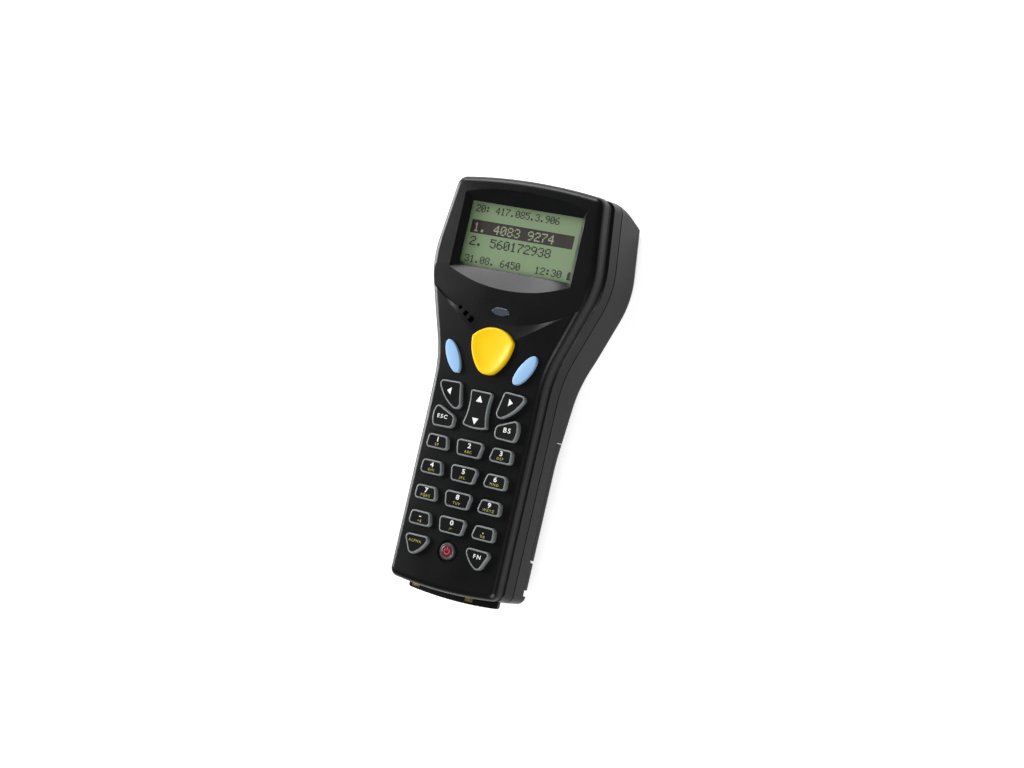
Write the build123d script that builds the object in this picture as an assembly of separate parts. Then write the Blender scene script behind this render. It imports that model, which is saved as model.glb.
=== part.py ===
from build123d import *
import os
from functools import partial
from math import atan2, degrees, hypot, sqrt

# The terminal lies on its back.  X runs across it, +Y from the grip towards the display, and
# +Z comes out of the keypad.  The back of the head lies on Z = 0.  All sizes are millimetres.

# ---- housing outline, half widths and stations along Y
grip_half = 25.7             # grip, at the seam
shoulder_half = 39.38        # corner where the two straight edges of the head's side would meet
crest_half = 34.9            # top corners of the head
head_top = 84.5              # middle of the head's top edge
head_top_rise = 2.2          # bow of that edge over its corners
grip_end = -81.7             # middle of the grip's lower edge
grip_end_rise = 1.8          # bow of that edge
neck_station = 10.2          # where the grip starts to widen
shoulder_station = 47.2
neck_radius = 50.0
shoulder_radius = 38.0
crest_radius = 4.5
grip_corner_radius = 3.6

# ---- housing levels along Z
seam_level = 19.5            # parting plane of the two shells
seam_gap = 0.6               # open line between the shells
grip_face = 33.4             # keypad face, on the centre line
head_face = 35.6             # display face, on the centre line
blank_top = 38.0             # level to which the front walls are drawn before the face is cut
face_rise_start = -19.5      # station where the face starts to rise to the head
face_rise_end = 46.0
crown_radius = 430.0         # bow of the face across X
front_taper = 3.0            # degrees, inward lean of the front walls
rear_taper = 1.0             # degrees, inward lean of the rear walls
cap_step_grip = 0.3          # above the flute the front shell steps in, on the grip
cap_step_head = 1.0          # and on the head
scan_brow = 82.4             # station where the slanted scan end meets the seam
scan_lean = 7.3              # how far that end slants in from the seam to the back
back_rise = 7.0              # the grip's back lies this far in front of the head's back
back_slope_start = 20.0
back_slope_end = -22.0
back_bend_radius = 60.0
face_edge_radius = 2.7
back_edge_radius = 3.0

# ---- walls
wall = 2.2
rear_wall = 2.0
keypad_ceiling = 31.0        # inner face of the front shell over the keypad
head_ceiling = 33.2          # and over the display
ceiling_step_start = 30.0
ceiling_step_end = 42.0
flute_level = 27.4           # concave flute round the front shell
flute_radius = 1.9
flute_depth = 0.85

# ---- display
display_bottom = 47.4
display_top = 73.4
display_half = 25.5
recess_half = 28.5           # outline of the sloped recess at the face
recess_bottom = 45.2         # its lower corners
recess_sag = 5.4             # its lower edge bows down by this much
recess_top = 76.6
recess_rise = 2.9
window_level = 32.0          # bottom of the recess
recess_level = 35.0          # level at which the recess outline is measured
recess_wall = 1.6
lens_margin = 2.0
lens_thickness = 1.0
bond = 0.05                  # film between bonded faces
panel_thickness = 1.8
panel_margin_side = 2.2
panel_margin_end = 3.2
tray_corner = 1.0

# ---- dished pad between display and trigger
pad_foot = 26.6              # lowest point of the smile-shaped edge
pad_side_half = 37.5         # its ends run out through the sides of the head
pad_side_station = 40.2
pad_vee_station = 12.0       # where the two arms of the grip would meet the centre line
pad_depth = 1.1              # step from the grip down to the pad

# ---- boards and sealing
board_level = 27.0           # upper face of the main board
board_thickness = 1.2
board_clearance = 0.9
board_bottom = -75.5
board_top = 79.0
gasket_inset = 0.5
gasket_width = 1.1
mat_thickness = 1.2
mat_half = 20.9
mat_bottom = -71.0
mat_top = 25.6
mat_pillar = 0.5
mat_corner = 2.0

# ---- keys
key_top = 35.0
key_gap = 0.25               # round each key in its opening
key_rim = 0.6                # grey rim round the lacquered top
key_flange = 0.6
key_flange_thickness = 0.8
flange_clearance = 0.1       # under the ceiling
key_travel = 0.8
stem_clearance = 0.2         # left over the mat's pillar when a key is pressed
key_edge_radius = 0.35
key_corner_radius = 1.0
key_tip_radius = 1.6         # at the narrow end of the keys that end in a point
row_first = -24.2            # centre line of the keys 1, 2 and 3
row_pitch = 10.35
centre_key_height = 5.3
centre_key_upper_half = 5.6
centre_key_lower_half = 4.6
side_key_height = 4.5
side_key_upper_inner = 11.3
side_key_upper_outer = 19.0
side_key_lower_inner = 10.2
side_key_lower_outer = 19.3
arrow_corners = ((10.6, 0.3), (19.6, -0.1))
arrow_tip = (8.4, -10.4)
arrow_bow = (15.9, -5.9)     # its outer edge bulges through this
shift_corners = ((19.5, -62.5), (9.2, -62.3))
shift_tip = (16.0, -69.6)
shift_bow = (11.6, -66.6)
escape_tip = ((10.2, -13.3), (10.2, -17.4))
escape_side = ((18.3, -10.0), (18.4, -17.6))
escape_bow = (19.3, -13.6)
rocker_centre = -8.5
rocker_top = -1.5
rocker_bottom = -14.6
rocker_sag = 0.9             # bow of its lower edge
rocker_upper_half = 4.6
rocker_waist_half = 3.9
rocker_lower_half = 5.1
rocker_drop = 0.55           # its flange sits lower to leave room to tilt
rocker_rib = 1.2
rocker_gap = 0.35
trigger_top = 36.0
trigger_travel = 1.0
trigger_shoulder = (9.7, 20.0)
trigger_waist = (7.7, 12.2)
trigger_foot = (3.4, 6.7)
trigger_foot_way = (0.6, -0.8)   # outward direction at the foot
trigger_crown = 24.6         # middle of its upper edge
trigger_tip = 5.7
trigger_edge_radius = 0.7
scan_key_top = 35.3
trigger_corner_radius = 1.6
scan_key_long = 14.2
scan_key_short = 5.5
scan_key_x = 16.8
scan_key_station = 10.4
scan_key_lean = 30.8         # degrees from Y, upper end outwards
power_station = -65.4
power_radius = 3.35
power_top = 33.9
power_ring_radius = 4.65
power_ring_depth = 0.6

# ---- status lens and beeper
lens_station = 31.2
lens_long = 8.1
lens_short = 3.2
lens_proud = 0.25
lens_gap = 0.1
beeper_x = -18.4
beeper_station = 30.4
beeper_radius = 4.3
beeper_height = 3.4
slot_count = 3               # slots that let the beeper's sound out
slot_first = (-19.0, 30.1)
slot_step = (3.15, -2.0)
slot_first_size = 1.5
slot_growth = 0.45

# ---- battery compartment in the back of the grip
cover_top = -14.2
cover_bottom = -62.3
cover_split = 12.0           # the cover wraps the back up to this level
cover_gap = 0.25
cover_wall = 1.5
pack_half = 19.0
pack_top = -17.5
pack_bottom = -58.5
pack_ceiling = 20.5
pack_gap = 0.5
pack_corner = 1.5
bay_wall = 1.6
bay_swing = 2.7              # room under the pack's lower end for it to swing out
tab_half = 3.0
tab_x = 12.0
tab_thickness = 1.0
tab_reach = 1.7
tab_level = 8.3
contact_count = 4
contact_radius = 0.75
contact_pitch = 4.0
contact_station = -21.0

# ---- latch under the cover's lower end
latch_top = -63.1
latch_bottom = -74.0
latch_travel = 2.0
latch_thickness = 3.7
latch_inset = 0.5
latch_keel_half = 6.0
latch_keel_length = 3.6
latch_head_grow = 1.6
latch_head_thickness = 1.2
latch_slide_gap = 0.15
latch_nose_half = 5.0
latch_nose_gap = 0.3         # short of the cover, which swings past it
latch_floor_wall = 1.6
flange_top = -76.6           # hook flange that closes the lower end

# ---- dock end
tongue_half = 21.0
tongue_tip = -84.5
tongue_inner = -76.5
tongue_thickness = 1.8
tongue_corner = 1.0
dock_slot_height = 4.2
dock_contact_width = 3.6
dock_contact_thickness = 0.35
dock_contact_reach = 6.0
dock_contact_inset = 1.0
dock_contact_places = (-17.5, 7.8)

# ---- screws
head_screw = (crest_half - 3.5, 66.0)
neck_screw = (grip_half - 0.9, 23.5)
boss_radius = 2.5
boss_shoulder = 0.9
tower_radius = 3.0
insert_radius = 1.8
insert_length = 4.0
insert_lead = 0.6
screw_radius = 1.0
screw_head_radius = 1.9
screw_head_height = 1.5
screw_seat = 13.0
thread_clearance = 0.05
head_clearance = 0.3

# ---- scanner and modules in the head
window_half = 17.0
window_height = 10.0
window_thickness = 1.0
window_corner = 2.0
window_drop = 10.6           # centre of the window, down the slanted end from the seam
window_recess = 0.3
window_fit = 0.1
window_lip = 1.6
window_frame = 1.6           # frame behind the window, beyond its lip
seal_thickness = 0.3
engine_half = 12.0
engine_length = 16.0
engine_height = 11.0
engine_gap = 3.0
engine_floor = 4.0
engine_rib = 2.0             # two ribs carry it
engine_rib_x = 8.4
engine_chamfer = 1.0
beam_half = 8.4              # tunnel for the beam in its face
radio_half = 11.0
radio_length = 18.0
radio_station = 42.0
radio_thickness = 2.6
cell_radius = 6.2
cell_thickness = 3.0
cell_x = radio_half + 8.5
cell_station = 36.0

right_left = (1, -1)


# ---------------------------------------------------------------- outlines
def rounded(shape, corners):
    """Round the corners nearest the given (x, y) points, on both sides of the centre line."""
    for x, y, radius in corners:
        for side in right_left:
            shape = fillet(shape.vertices().sort_by_distance((side * x, y))[0], radius)
    return shape


def left_of(point):
    """The same point on the left side of the centre line."""
    return -point[0], point[1]


def housing_outline(step_grip=0.0, step_head=0.0, grow=0.0):
    """Outline of the housing, stepped in from the one at the seam, or grown all round."""
    grip, shoulder, crest = grip_half - step_grip, shoulder_half - step_head, crest_half - step_head
    top_corner, bottom_corner = head_top - head_top_rise, grip_end + grip_end_rise
    side = [(grip, bottom_corner), (grip, neck_station), (shoulder, shoulder_station), (crest, top_corner)]
    right = Polyline(*side)
    left = Polyline(*[left_of(point) for point in side])
    upper = ThreePointArc((crest, top_corner), (0, head_top), (-crest, top_corner))
    lower = ThreePointArc((grip, bottom_corner), (0, grip_end), (-grip, bottom_corner))
    face = rounded(make_face([right, upper, left, lower]),
                   [(grip, neck_station, neck_radius), (shoulder, shoulder_station, shoulder_radius),
                    (crest, top_corner, crest_radius), (grip, bottom_corner, grip_corner_radius)])
    return offset(face, grow) if grow else face


def tapered(outline, low, high, taper):
    """Outline extruded from low to high with its walls leaning in; high may lie below low."""
    return Pos(0, 0, low) * extrude(outline, high - low, dir=(0, 0, 1), taper=taper)


def long_block(x_half, y_low, y_high, z_low, z_high, x_centre=0.0):
    """Block given by its half width and its limits along Y and Z."""
    middle = (x_centre, (y_low + y_high) / 2, (z_low + z_high) / 2)
    return Pos(*middle) * Box(2 * x_half, y_high - y_low, z_high - z_low)


def post(x, y, z_low, z_high, radius):
    return Pos(x, y, (z_low + z_high) / 2) * Cylinder(radius, z_high - z_low)


# ---------------------------------------------------------------- crowned face and back
far = 95.0                   # reach of the cutting bodies beyond the housing
cut_margin = 1.0             # by which smaller cuts start outside the face they open


def above_crown(path):
    """Everything above a face that is crowned across X and follows path along Y."""
    sag = crown_radius - sqrt(crown_radius ** 2 - far ** 2 / 4)
    half = far / 2
    start = Plane(origin=path @ 0, x_dir=(1, 0, 0), z_dir=-(path % 0))
    bow = ThreePointArc((-half, -sag), (0, 0), (half, -sag))
    rest = Polyline((half, -sag), (half, half), (-half, half), (-half, -sag))
    return sweep(start * make_face([bow, rest]), path)


def face_line():
    """Centre line of the face, level on the grip and on the head, with a gentle rise between."""
    start, end = (0, face_rise_start, grip_face), (0, face_rise_end, head_face)
    middle = (0, (face_rise_start + face_rise_end) / 2, (grip_face + head_face) / 2)
    rising = TangentArc(start, middle, tangent=(0, 1, 0))
    levelling = TangentArc(middle, end, tangent=rising % 1)
    return Wire([Line((0, -far, grip_face), start), rising, levelling, Line(end, (0, far, head_face))])


def face_height(station):
    """Level of the face on the centre line."""
    share = min(max((station - face_rise_start) / (face_rise_end - face_rise_start), 0.0), 1.0)
    risen = 2 * share ** 2 if share < 0.5 else 1 - 2 * (1 - share) ** 2
    return grip_face + (head_face - grip_face) * risen


def below_back(raised=0.0):
    """Everything behind the back face, which slopes from the head to the grip."""
    line = FilletPolyline((far, raised), (back_slope_start, raised), (back_slope_end, back_rise + raised),
                          (-far, back_rise + raised), radius=back_bend_radius)
    rest = Polyline((-far, back_rise + raised), (-far, -far), (far, -far), (far, raised))
    return extrude(Plane.YZ * make_face([line, rest]), far, both=True)


def back_height(station):
    """Level of the back face at a station on its slope."""
    share = (back_slope_start - station) / (back_slope_start - back_slope_end)
    return back_rise * min(max(share, 0.0), 1.0)


def outer_edges(body, upward):
    """Outline edges of the crowned face or of the back, where they meet the side walls."""
    sign = 1 if upward else -1
    faces = [face for face in body.faces() if face.normal_at().Z * sign > 0.9]
    counted = {}
    for face in faces:
        for edge in face.edges():
            key = tuple(round(value, 3) for value in (edge @ 0.5))
            counted.setdefault(key, []).append(edge)
    return [edges[0] for edges in counted.values() if len(edges) == 1]


def front_body():
    """Outer form of the front shell: side walls with a cap that steps in above the flute."""
    walls = tapered(housing_outline(), seam_level + seam_gap / 2, flute_level, front_taper)
    cap = tapered(housing_outline(cap_step_grip, cap_step_head), flute_level, blank_top, front_taper)
    cap -= above_crown(face_line())
    cap = fillet(outer_edges(cap, True), face_edge_radius)
    return walls + cap - flute()


def flute():
    """Concave flute that runs round the shell under the cap's step."""
    path = housing_outline(cap_step_grip, cap_step_head, flute_radius - flute_depth).wires()[0]
    start = Plane(origin=path @ 0, z_dir=path % 0)
    return Pos(0, 0, flute_level) * sweep(start * Circle(flute_radius), path)


def scan_plane(depth=0.0):
    """Plane of the slanted scan end, depth below its surface, with its origin at the seam."""
    slope = Plane(origin=(0, scan_brow, seam_level), x_dir=(1, 0, 0), z_dir=(0, seam_level, -scan_lean))
    return slope.offset(-depth)


def beyond_scan_end(depth=0.0):
    """Everything outside the slanted scan end."""
    return scan_plane(depth) * Pos(0, 0, far / 2) * Box(far, far, far)


def rear_body():
    """Outer form of the rear shell, battery cover and latch together."""
    body = tapered(housing_outline(), seam_level - seam_gap / 2, -cut_margin, rear_taper)
    body = body - beyond_scan_end() - below_back()
    return fillet(outer_edges(body, False), back_edge_radius)


# ---------------------------------------------------------------- keys
def soft_polygon(points, grow):
    """Polygon with all its corners rounded, then grown all round."""
    face = make_face(Polyline(*points, close=True))
    return offset(fillet(face.vertices(), key_corner_radius), grow)


def sided(face, side):
    """Face drawn for the right side, mirrored where side is -1."""
    return face if side == 1 else mirror(face, about=Plane.YZ)


def digit_outline(column, row, grow=0.0):
    """Lacquered top of a digit key; column is -1, 0 or 1 and row counts down from 0."""
    station = row_first - row * row_pitch
    if column == 0:
        top, bottom = station + centre_key_height / 2, station - centre_key_height / 2
        return soft_polygon([(-centre_key_upper_half, top), (centre_key_upper_half, top),
                             (centre_key_lower_half, bottom), (-centre_key_lower_half, bottom)], grow)
    top, bottom = station + side_key_height / 2, station - side_key_height / 2
    return sided(soft_polygon([(side_key_upper_inner, top), (side_key_upper_outer, top),
                               (side_key_lower_outer, bottom), (side_key_lower_inner, bottom)], grow), column)


def softened(face, corners, tips):
    """Face with its corners and tips rounded."""
    for places, radius in ((corners, key_corner_radius), (tips, key_tip_radius)):
        for place in places:
            face = fillet(face.vertices().sort_by_distance(place)[0], radius)
    return face


def bowed_key(corners, tip, bow, side, grow):
    """Key with two corners and a tip whose edge from the second corner to the tip bulges through bow."""
    first, second = corners
    face = make_face([Line(first, second), ThreePointArc(second, bow, tip), Line(tip, first)])
    return sided(offset(softened(face, corners, [tip]), grow), side)


def arrow_outline(side, grow=0.0):
    """Left or right key: straight upper and inner edges, bulging outer edge."""
    return bowed_key(arrow_corners, arrow_tip, arrow_bow, side, grow)


def shift_outline(side, grow=0.0):
    """Key in the lowest row: a drop with its point towards the grip's end."""
    return bowed_key(shift_corners, shift_tip, shift_bow, side, grow)


def escape_outline(side, grow=0.0):
    """Key beside the rocker's lower end: a wedge with a bulging outer side."""
    (tip_high, tip_low), (high, low) = escape_tip, escape_side
    face = make_face([Line(tip_high, high), ThreePointArc(high, escape_bow, low), Line(low, tip_low),
                      Line(tip_low, tip_high)])
    return sided(offset(softened(face, escape_side, escape_tip), grow), side)


def rocker_outline(grow=0.0):
    """Waisted outline of the up and down key."""
    upper, waist, lower = rocker_upper_half + grow, rocker_waist_half + grow, rocker_lower_half + grow
    top, bottom = rocker_top + grow, rocker_bottom - grow
    right = ThreePointArc((lower, bottom), (waist, rocker_centre), (upper, top))
    left = ThreePointArc((-upper, top), (-waist, rocker_centre), (-lower, bottom))
    foot = ThreePointArc((-lower, bottom), (0, bottom - rocker_sag), (lower, bottom))
    face = make_face([right, Line((upper, top), (-upper, top)), left, foot])
    return fillet(face.vertices(), key_corner_radius)


def trigger_outline(grow=0.0):
    """Shield-shaped trigger key."""
    shoulder, shoulder_y = trigger_shoulder[0] + grow, trigger_shoulder[1]
    waist, waist_y = trigger_waist[0] + grow, trigger_waist[1]
    foot, foot_y = [place + way * grow for place, way in zip(trigger_foot, trigger_foot_way)]
    right = ThreePointArc((foot, foot_y), (waist, waist_y), (shoulder, shoulder_y))
    upper = ThreePointArc((shoulder, shoulder_y), (0, trigger_crown + grow), (-shoulder, shoulder_y))
    left = ThreePointArc((-shoulder, shoulder_y), (-waist, waist_y), (-foot, foot_y))
    lower = ThreePointArc((-foot, foot_y), (0, trigger_tip - grow), (foot, foot_y))
    return fillet(make_face([right, upper, left, lower]).vertices(), trigger_corner_radius)


def scan_key_outline(side, grow=0.0):
    """Oval key beside the trigger."""
    ellipse = Rot(0, 0, 90 - scan_key_lean) * Ellipse(scan_key_long / 2 + grow, scan_key_short / 2 + grow)
    return sided(Pos(scan_key_x, scan_key_station) * ellipse, side)


def power_outline(grow=0.0):
    return Pos(0, power_station) * Circle(power_radius + grow)


class Key:
    """A key: its outline, the rim round its marked top, its top level, travel and edge radius."""

    def __init__(self, outline, rim=key_rim, top=key_top, travel=key_travel, edge=key_edge_radius):
        self.outline, self.rim, self.top, self.travel, self.edge = outline, rim, top, travel, edge

    def cap(self, grow=0.0):
        return self.outline(grow=self.rim + grow)


def all_keys():
    """Every key that travels straight down, by name."""
    digits = ["key_1", "key_2", "key_3", "key_4", "key_5", "key_6", "key_7", "key_8", "key_9",
              "key_minus", "key_0", "key_dot"]
    keys = {name: Key(partial(digit_outline, place % 3 - 1, place // 3)) for place, name in enumerate(digits)}
    pairs = {("key_left", "key_right"): arrow_outline, ("key_esc", "key_bs"): escape_outline,
             ("key_alpha", "key_fn"): shift_outline}
    for names, outline in pairs.items():
        for name, side in zip(names, (-1, 1)):
            keys[name] = Key(partial(outline, side))
    for name, side in (("side_key_left", -1), ("side_key_right", 1)):
        keys[name] = Key(partial(scan_key_outline, side), rim=0.0, top=scan_key_top)
    keys["power_key"] = Key(power_outline, rim=0.0, top=power_top)
    keys["trigger_key"] = Key(trigger_outline, rim=0.0, top=trigger_top, travel=trigger_travel,
                              edge=trigger_edge_radius)
    return keys


def pillar_top():
    """Top of the mat's pillars, on which the keys press."""
    return board_level + mat_thickness + mat_pillar


def flange_low():
    """Underside of the flanges that hold the keys under the ceiling."""
    return keypad_ceiling - flange_clearance - key_flange_thickness


def key_body(key):
    """Key with its flange and a stem above its pillar."""
    body = Pos(0, 0, flange_low()) * extrude(key.cap(), key.top - flange_low())
    body = fillet(body.faces().sort_by(Axis.Z)[-1].edges(), key.edge)
    body += Pos(0, 0, flange_low()) * extrude(key.cap(key_flange), key_flange_thickness)
    stem_low = pillar_top() + key.travel + stem_clearance
    return body + Pos(0, 0, stem_low) * extrude(key.cap(-key_flange), flange_low() - stem_low)


def rocker_body():
    """Up and down key, which tilts on a rib across its underside."""
    low = flange_low() - rocker_drop
    body = Pos(0, 0, low) * extrude(rocker_outline(key_rim), key_top - low)
    body = fillet(body.faces().sort_by(Axis.Z)[-1].edges(), key_edge_radius)
    body += Pos(0, 0, low) * extrude(rocker_outline(key_rim + key_flange), key_flange_thickness)
    return body + long_block(2 * rocker_rib, rocker_centre - rocker_rib / 2, rocker_centre + rocker_rib / 2,
                             pillar_top() + flange_clearance, low)


# ---------------------------------------------------------------- front shell
def recess_outline():
    """Outline of the display recess: straight sides and bowed ends."""
    half, low, high = recess_half, recess_bottom, recess_top
    return make_face([Line((half, low), (half, high)),
                      ThreePointArc((half, high), (0, high + recess_rise), (-half, high)),
                      Line((-half, high), (-half, low)),
                      ThreePointArc((-half, low), (0, low - recess_sag), (half, low))])


def window_outline(side_margin=0.0, end_margin=0.0):
    """Outline of the display window, grown by margins."""
    width = 2 * (display_half + side_margin)
    return Pos(0, (display_bottom + display_top) / 2) * Rectangle(width, display_top - display_bottom
                                                                 + 2 * end_margin)


def funnel(grow=0.0):
    """Sloped walls from the recess outline down to the window."""
    upper = offset(recess_outline(), grow, kind=Kind.INTERSECTION) if grow else recess_outline()
    slope = loft([Pos(0, 0, window_level) * window_outline(grow, grow), Pos(0, 0, recess_level) * upper],
                 ruled=True)
    return slope + Pos(0, 0, recess_level) * extrude(upper, blank_top - recess_level)


def pad_height(station):
    """Level of the dished pad on the centre line."""
    low = face_height(pad_foot) - pad_depth
    return low + (head_face - low) * (station - pad_foot) / (face_rise_end - pad_foot)


def pad_cut():
    """Dished pad under the display: a smile-shaped floor edge under the arms of the grip."""
    corner, end = (pad_side_half, pad_side_station), (pad_side_half, face_rise_end)
    rise = pad_side_station - pad_foot
    radius = (pad_side_half ** 2 + rise ** 2) / (2 * rise)
    middle = (pad_side_half / 2, pad_foot + radius - sqrt(radius ** 2 - pad_side_half ** 2 / 4))
    foot, vee = (0, pad_foot), (0, pad_vee_station)
    smile = [ThreePointArc(foot, middle, corner), ThreePointArc(left_of(corner), left_of(middle), foot)]
    arms = [Line(vee, corner), Line(left_of(corner), vee)]
    rest = [Line(corner, end), Line(end, left_of(end)), Line(left_of(end), left_of(corner))]
    low, high = face_height(pad_foot) - pad_depth, face_height(pad_foot)
    lower, upper = make_face(smile + rest), make_face(arms + rest)
    region = loft([Pos(0, 0, low) * lower, Pos(0, 0, high) * upper], ruled=True)
    region += Pos(0, 0, high) * extrude(upper, blank_top - high)
    region += Pos(0, 0, low - wall) * extrude(lower, wall)
    return region & above_crown(Line((0, -far, pad_height(-far)), (0, far, pad_height(far))))


def above_ceiling():
    """Everything above the front shell's inner face."""
    face = make_face(Polyline((-far, keypad_ceiling), (ceiling_step_start, keypad_ceiling),
                              (ceiling_step_end, head_ceiling), (far, head_ceiling), (far, far), (-far, far),
                              close=True))
    return extrude(Plane.YZ * face, far, both=True)


def screw_places():
    """Centres of the four housing screws."""
    return [(side * x, y) for x, y in (head_screw, neck_screw) for side in right_left]


def sound_slots():
    """Three slots beside the trigger, each a little larger than the last."""
    slots = Part()
    lean = degrees(atan2(slot_step[1], slot_step[0]))
    for place in range(slot_count):
        size = slot_first_size + place * slot_growth
        x, y = slot_first[0] + place * slot_step[0], slot_first[1] + place * slot_step[1]
        slots += Pos(x, y, keypad_ceiling) * Rot(0, 0, lean) * Box(size, size, 4 * wall)
    return slots


def lens_outline(grow=0.0):
    return Pos(0, lens_station) * Ellipse(lens_long / 2 + grow, lens_short / 2 + grow)


def front_shell(keys):
    """Upper housing half with its display recess, key openings and screw bosses."""
    body = front_body()
    hollow = tapered(housing_outline(cap_step_grip, cap_step_head, -wall), seam_level, blank_top,
                     front_taper) - above_ceiling()
    inner = funnel(recess_wall)
    joint = seam_level + seam_gap / 2
    for x, y in screw_places():
        inner += post(x, y, joint, blank_top, boss_radius)
        inner += post(x, y, board_level, blank_top, boss_radius + boss_shoulder)
    shell = body - hollow + (inner & body) - funnel() - pad_cut()
    for x, y in screw_places():
        shell -= post(x, y, 0, joint + insert_lead + insert_length + insert_lead, insert_radius + bond)
    openings = Sketch() + [key.cap(key_gap) for key in keys.values()]
    openings += [rocker_outline(key_rim + rocker_gap), lens_outline(lens_gap)]
    shell -= Pos(0, 0, seam_level) * extrude(openings, far)
    shell -= post(0, power_station, grip_face - power_ring_depth, far, power_ring_radius)
    shell -= sound_slots()
    slot_half = tongue_half + cover_gap
    return shell - long_block(slot_half, -far, tongue_inner, 0, seam_level + dock_slot_height)


# ---------------------------------------------------------------- rear shell
def hinge_line():
    """Station and level of the line on which the battery cover turns: its outer upper edge."""
    return cover_top - cover_gap / 2, back_height(cover_top)


def latch_floor():
    """Level of the recess floor over the latch."""
    return back_rise + latch_inset + latch_thickness + latch_slide_gap


def bay_block(extra, low, high):
    """Battery bay with extra round it."""
    return long_block(pack_half + pack_gap + extra, pack_bottom - bay_swing - extra,
                      pack_top + pack_gap + extra, low, high)


def tab_blocks(extra=0.0):
    """Hook tabs at the cover's upper end, with extra room round them."""
    blocks = Part()
    for side in right_left:
        blocks += long_block(tab_half + extra, pack_top + cover_gap, cover_top + tab_reach + extra,
                             tab_level - extra, tab_level + tab_thickness + 2 * extra, side * tab_x)
    return blocks


def scan_opening(grow, near, deep):
    """Rounded block on the slanted end, grown round the window, between two depths."""
    outline = RectangleRounded(2 * (window_half + grow), window_height + 2 * grow, window_corner)
    return scan_plane(deep) * Pos(0, window_drop, 0) * extrude(outline, deep - near)


def rear_shell():
    """Lower housing half with the battery bay, latch recess, scan window seat and screw towers."""
    body = rear_body()
    hollow = tapered(housing_outline(grow=-rear_wall), seam_level, 0, rear_taper)
    hollow -= beyond_scan_end(rear_wall) + below_back(rear_wall)
    bay_end = pack_bottom - bay_swing - bay_wall
    hollow -= long_block(far, -far, bay_end, 0, latch_floor() + latch_floor_wall)
    shell = body - hollow
    ledge = long_block(far, bay_end, pack_top + pack_gap + bay_wall, cover_split, cover_split + bay_wall)
    shell += ledge & body
    shell += bay_block(bay_wall, cover_split, pack_ceiling + pack_gap + bay_wall)
    shell -= bay_block(0, 0, pack_ceiling + pack_gap)
    for x, y in contact_places():
        shell -= post(x, y, pack_ceiling, far, contact_radius + bond)
    shell -= long_block(far, cover_bottom, cover_top, -far, cover_split)
    shell -= long_block(far, flange_top, cover_bottom, -far, latch_floor())
    shell -= latch_keel(latch_slide_gap, latch_travel)
    joint = seam_level - seam_gap / 2
    for x, y in screw_places():
        shell += post(x, y, rear_wall / 2, joint, tower_radius)
        shell -= post(x, y, -cut_margin, screw_seat, screw_head_radius + head_clearance)
        shell -= post(x, y, -cut_margin, far, screw_radius + head_clearance)
    pocket = window_recess + window_thickness + seal_thickness
    shell += scan_opening(window_lip, rear_wall / 2, pocket + window_frame)
    shell -= scan_opening(window_fit, -cut_margin, pocket)
    shell -= scan_opening(-window_lip, -cut_margin, pocket + 2 * window_frame)
    for side in right_left:
        shell += long_block(engine_rib / 2, engine_front() - engine_length, engine_front() - engine_rib,
                            rear_wall / 2, engine_floor - bond, side * engine_rib_x)
    return shell


def engine_front():
    """Station of the scan engine's face, clear behind the slanted window."""
    return scan_brow - scan_lean - engine_gap - rear_wall


# ---------------------------------------------------------------- battery cover, pack and latch
def battery_cover():
    """Wrap-round cover with hook tabs at its upper end."""
    station, level = hinge_line()
    cover = rear_body() & long_block(far, cover_bottom, cover_top - cover_gap, -far, cover_split - cover_gap)
    hollow = tapered(housing_outline(grow=-cover_wall), seam_level, 0, rear_taper) - below_back(cover_wall)
    hollow &= long_block(far, cover_bottom + cover_wall, far, 0, far)
    cover -= hollow
    reach = station - cover_bottom
    cover &= Pos(0, station, level) * Rot(0, 90, 0) * Cylinder(reach, far)
    foot = long_block(far, pack_top + cover_gap, cover_top - 2 * cover_gap, level, tab_level + tab_thickness)
    feet = Part()
    for side in right_left:
        feet += foot & long_block(tab_half, -far, far, level + cover_wall / 2, far, side * tab_x)
    return cover + feet + tab_blocks()


def battery_pack():
    """Flat rechargeable pack, seated on the cover."""
    floor = back_rise + cover_wall + bond
    pack = long_block(pack_half, pack_bottom, pack_top, floor, pack_ceiling)
    return fillet(pack.edges().filter_by(Axis.Z) + pack.edges().filter_by(Axis.Y), pack_corner)


def contact_places():
    """Centres of the battery contacts, across the pack's upper end."""
    first = -(contact_count - 1) / 2 * contact_pitch
    return [(first + place * contact_pitch, contact_station) for place in range(contact_count)]


def battery_terminals():
    """Four flat pads let into the pack's inner face."""
    pads = Part()
    for x, y in contact_places():
        pads += post(x, y, pack_ceiling, pack_ceiling + bond * 2, 2 * contact_radius)
    return pads


def battery_contacts():
    """Four spring pins that reach from the board's underside through the bay to the pads."""
    pins = Part()
    for x, y in contact_places():
        pins += post(x, y, pack_ceiling + 4 * bond, board_level - board_thickness, contact_radius)
    return pins


def latch_keel(extra=0.0, travel=0.0):
    """Keel and captive head of the latch, with extra room and its travel towards the grip's end."""
    middle = (latch_top + latch_bottom) / 2
    low, high = middle - latch_keel_length / 2, middle + latch_keel_length / 2
    floor = latch_floor()
    return long_block(latch_keel_half + extra, low - extra - travel, high + extra,
                      floor - latch_thickness / 2, floor + latch_floor_wall + latch_slide_gap)


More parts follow.
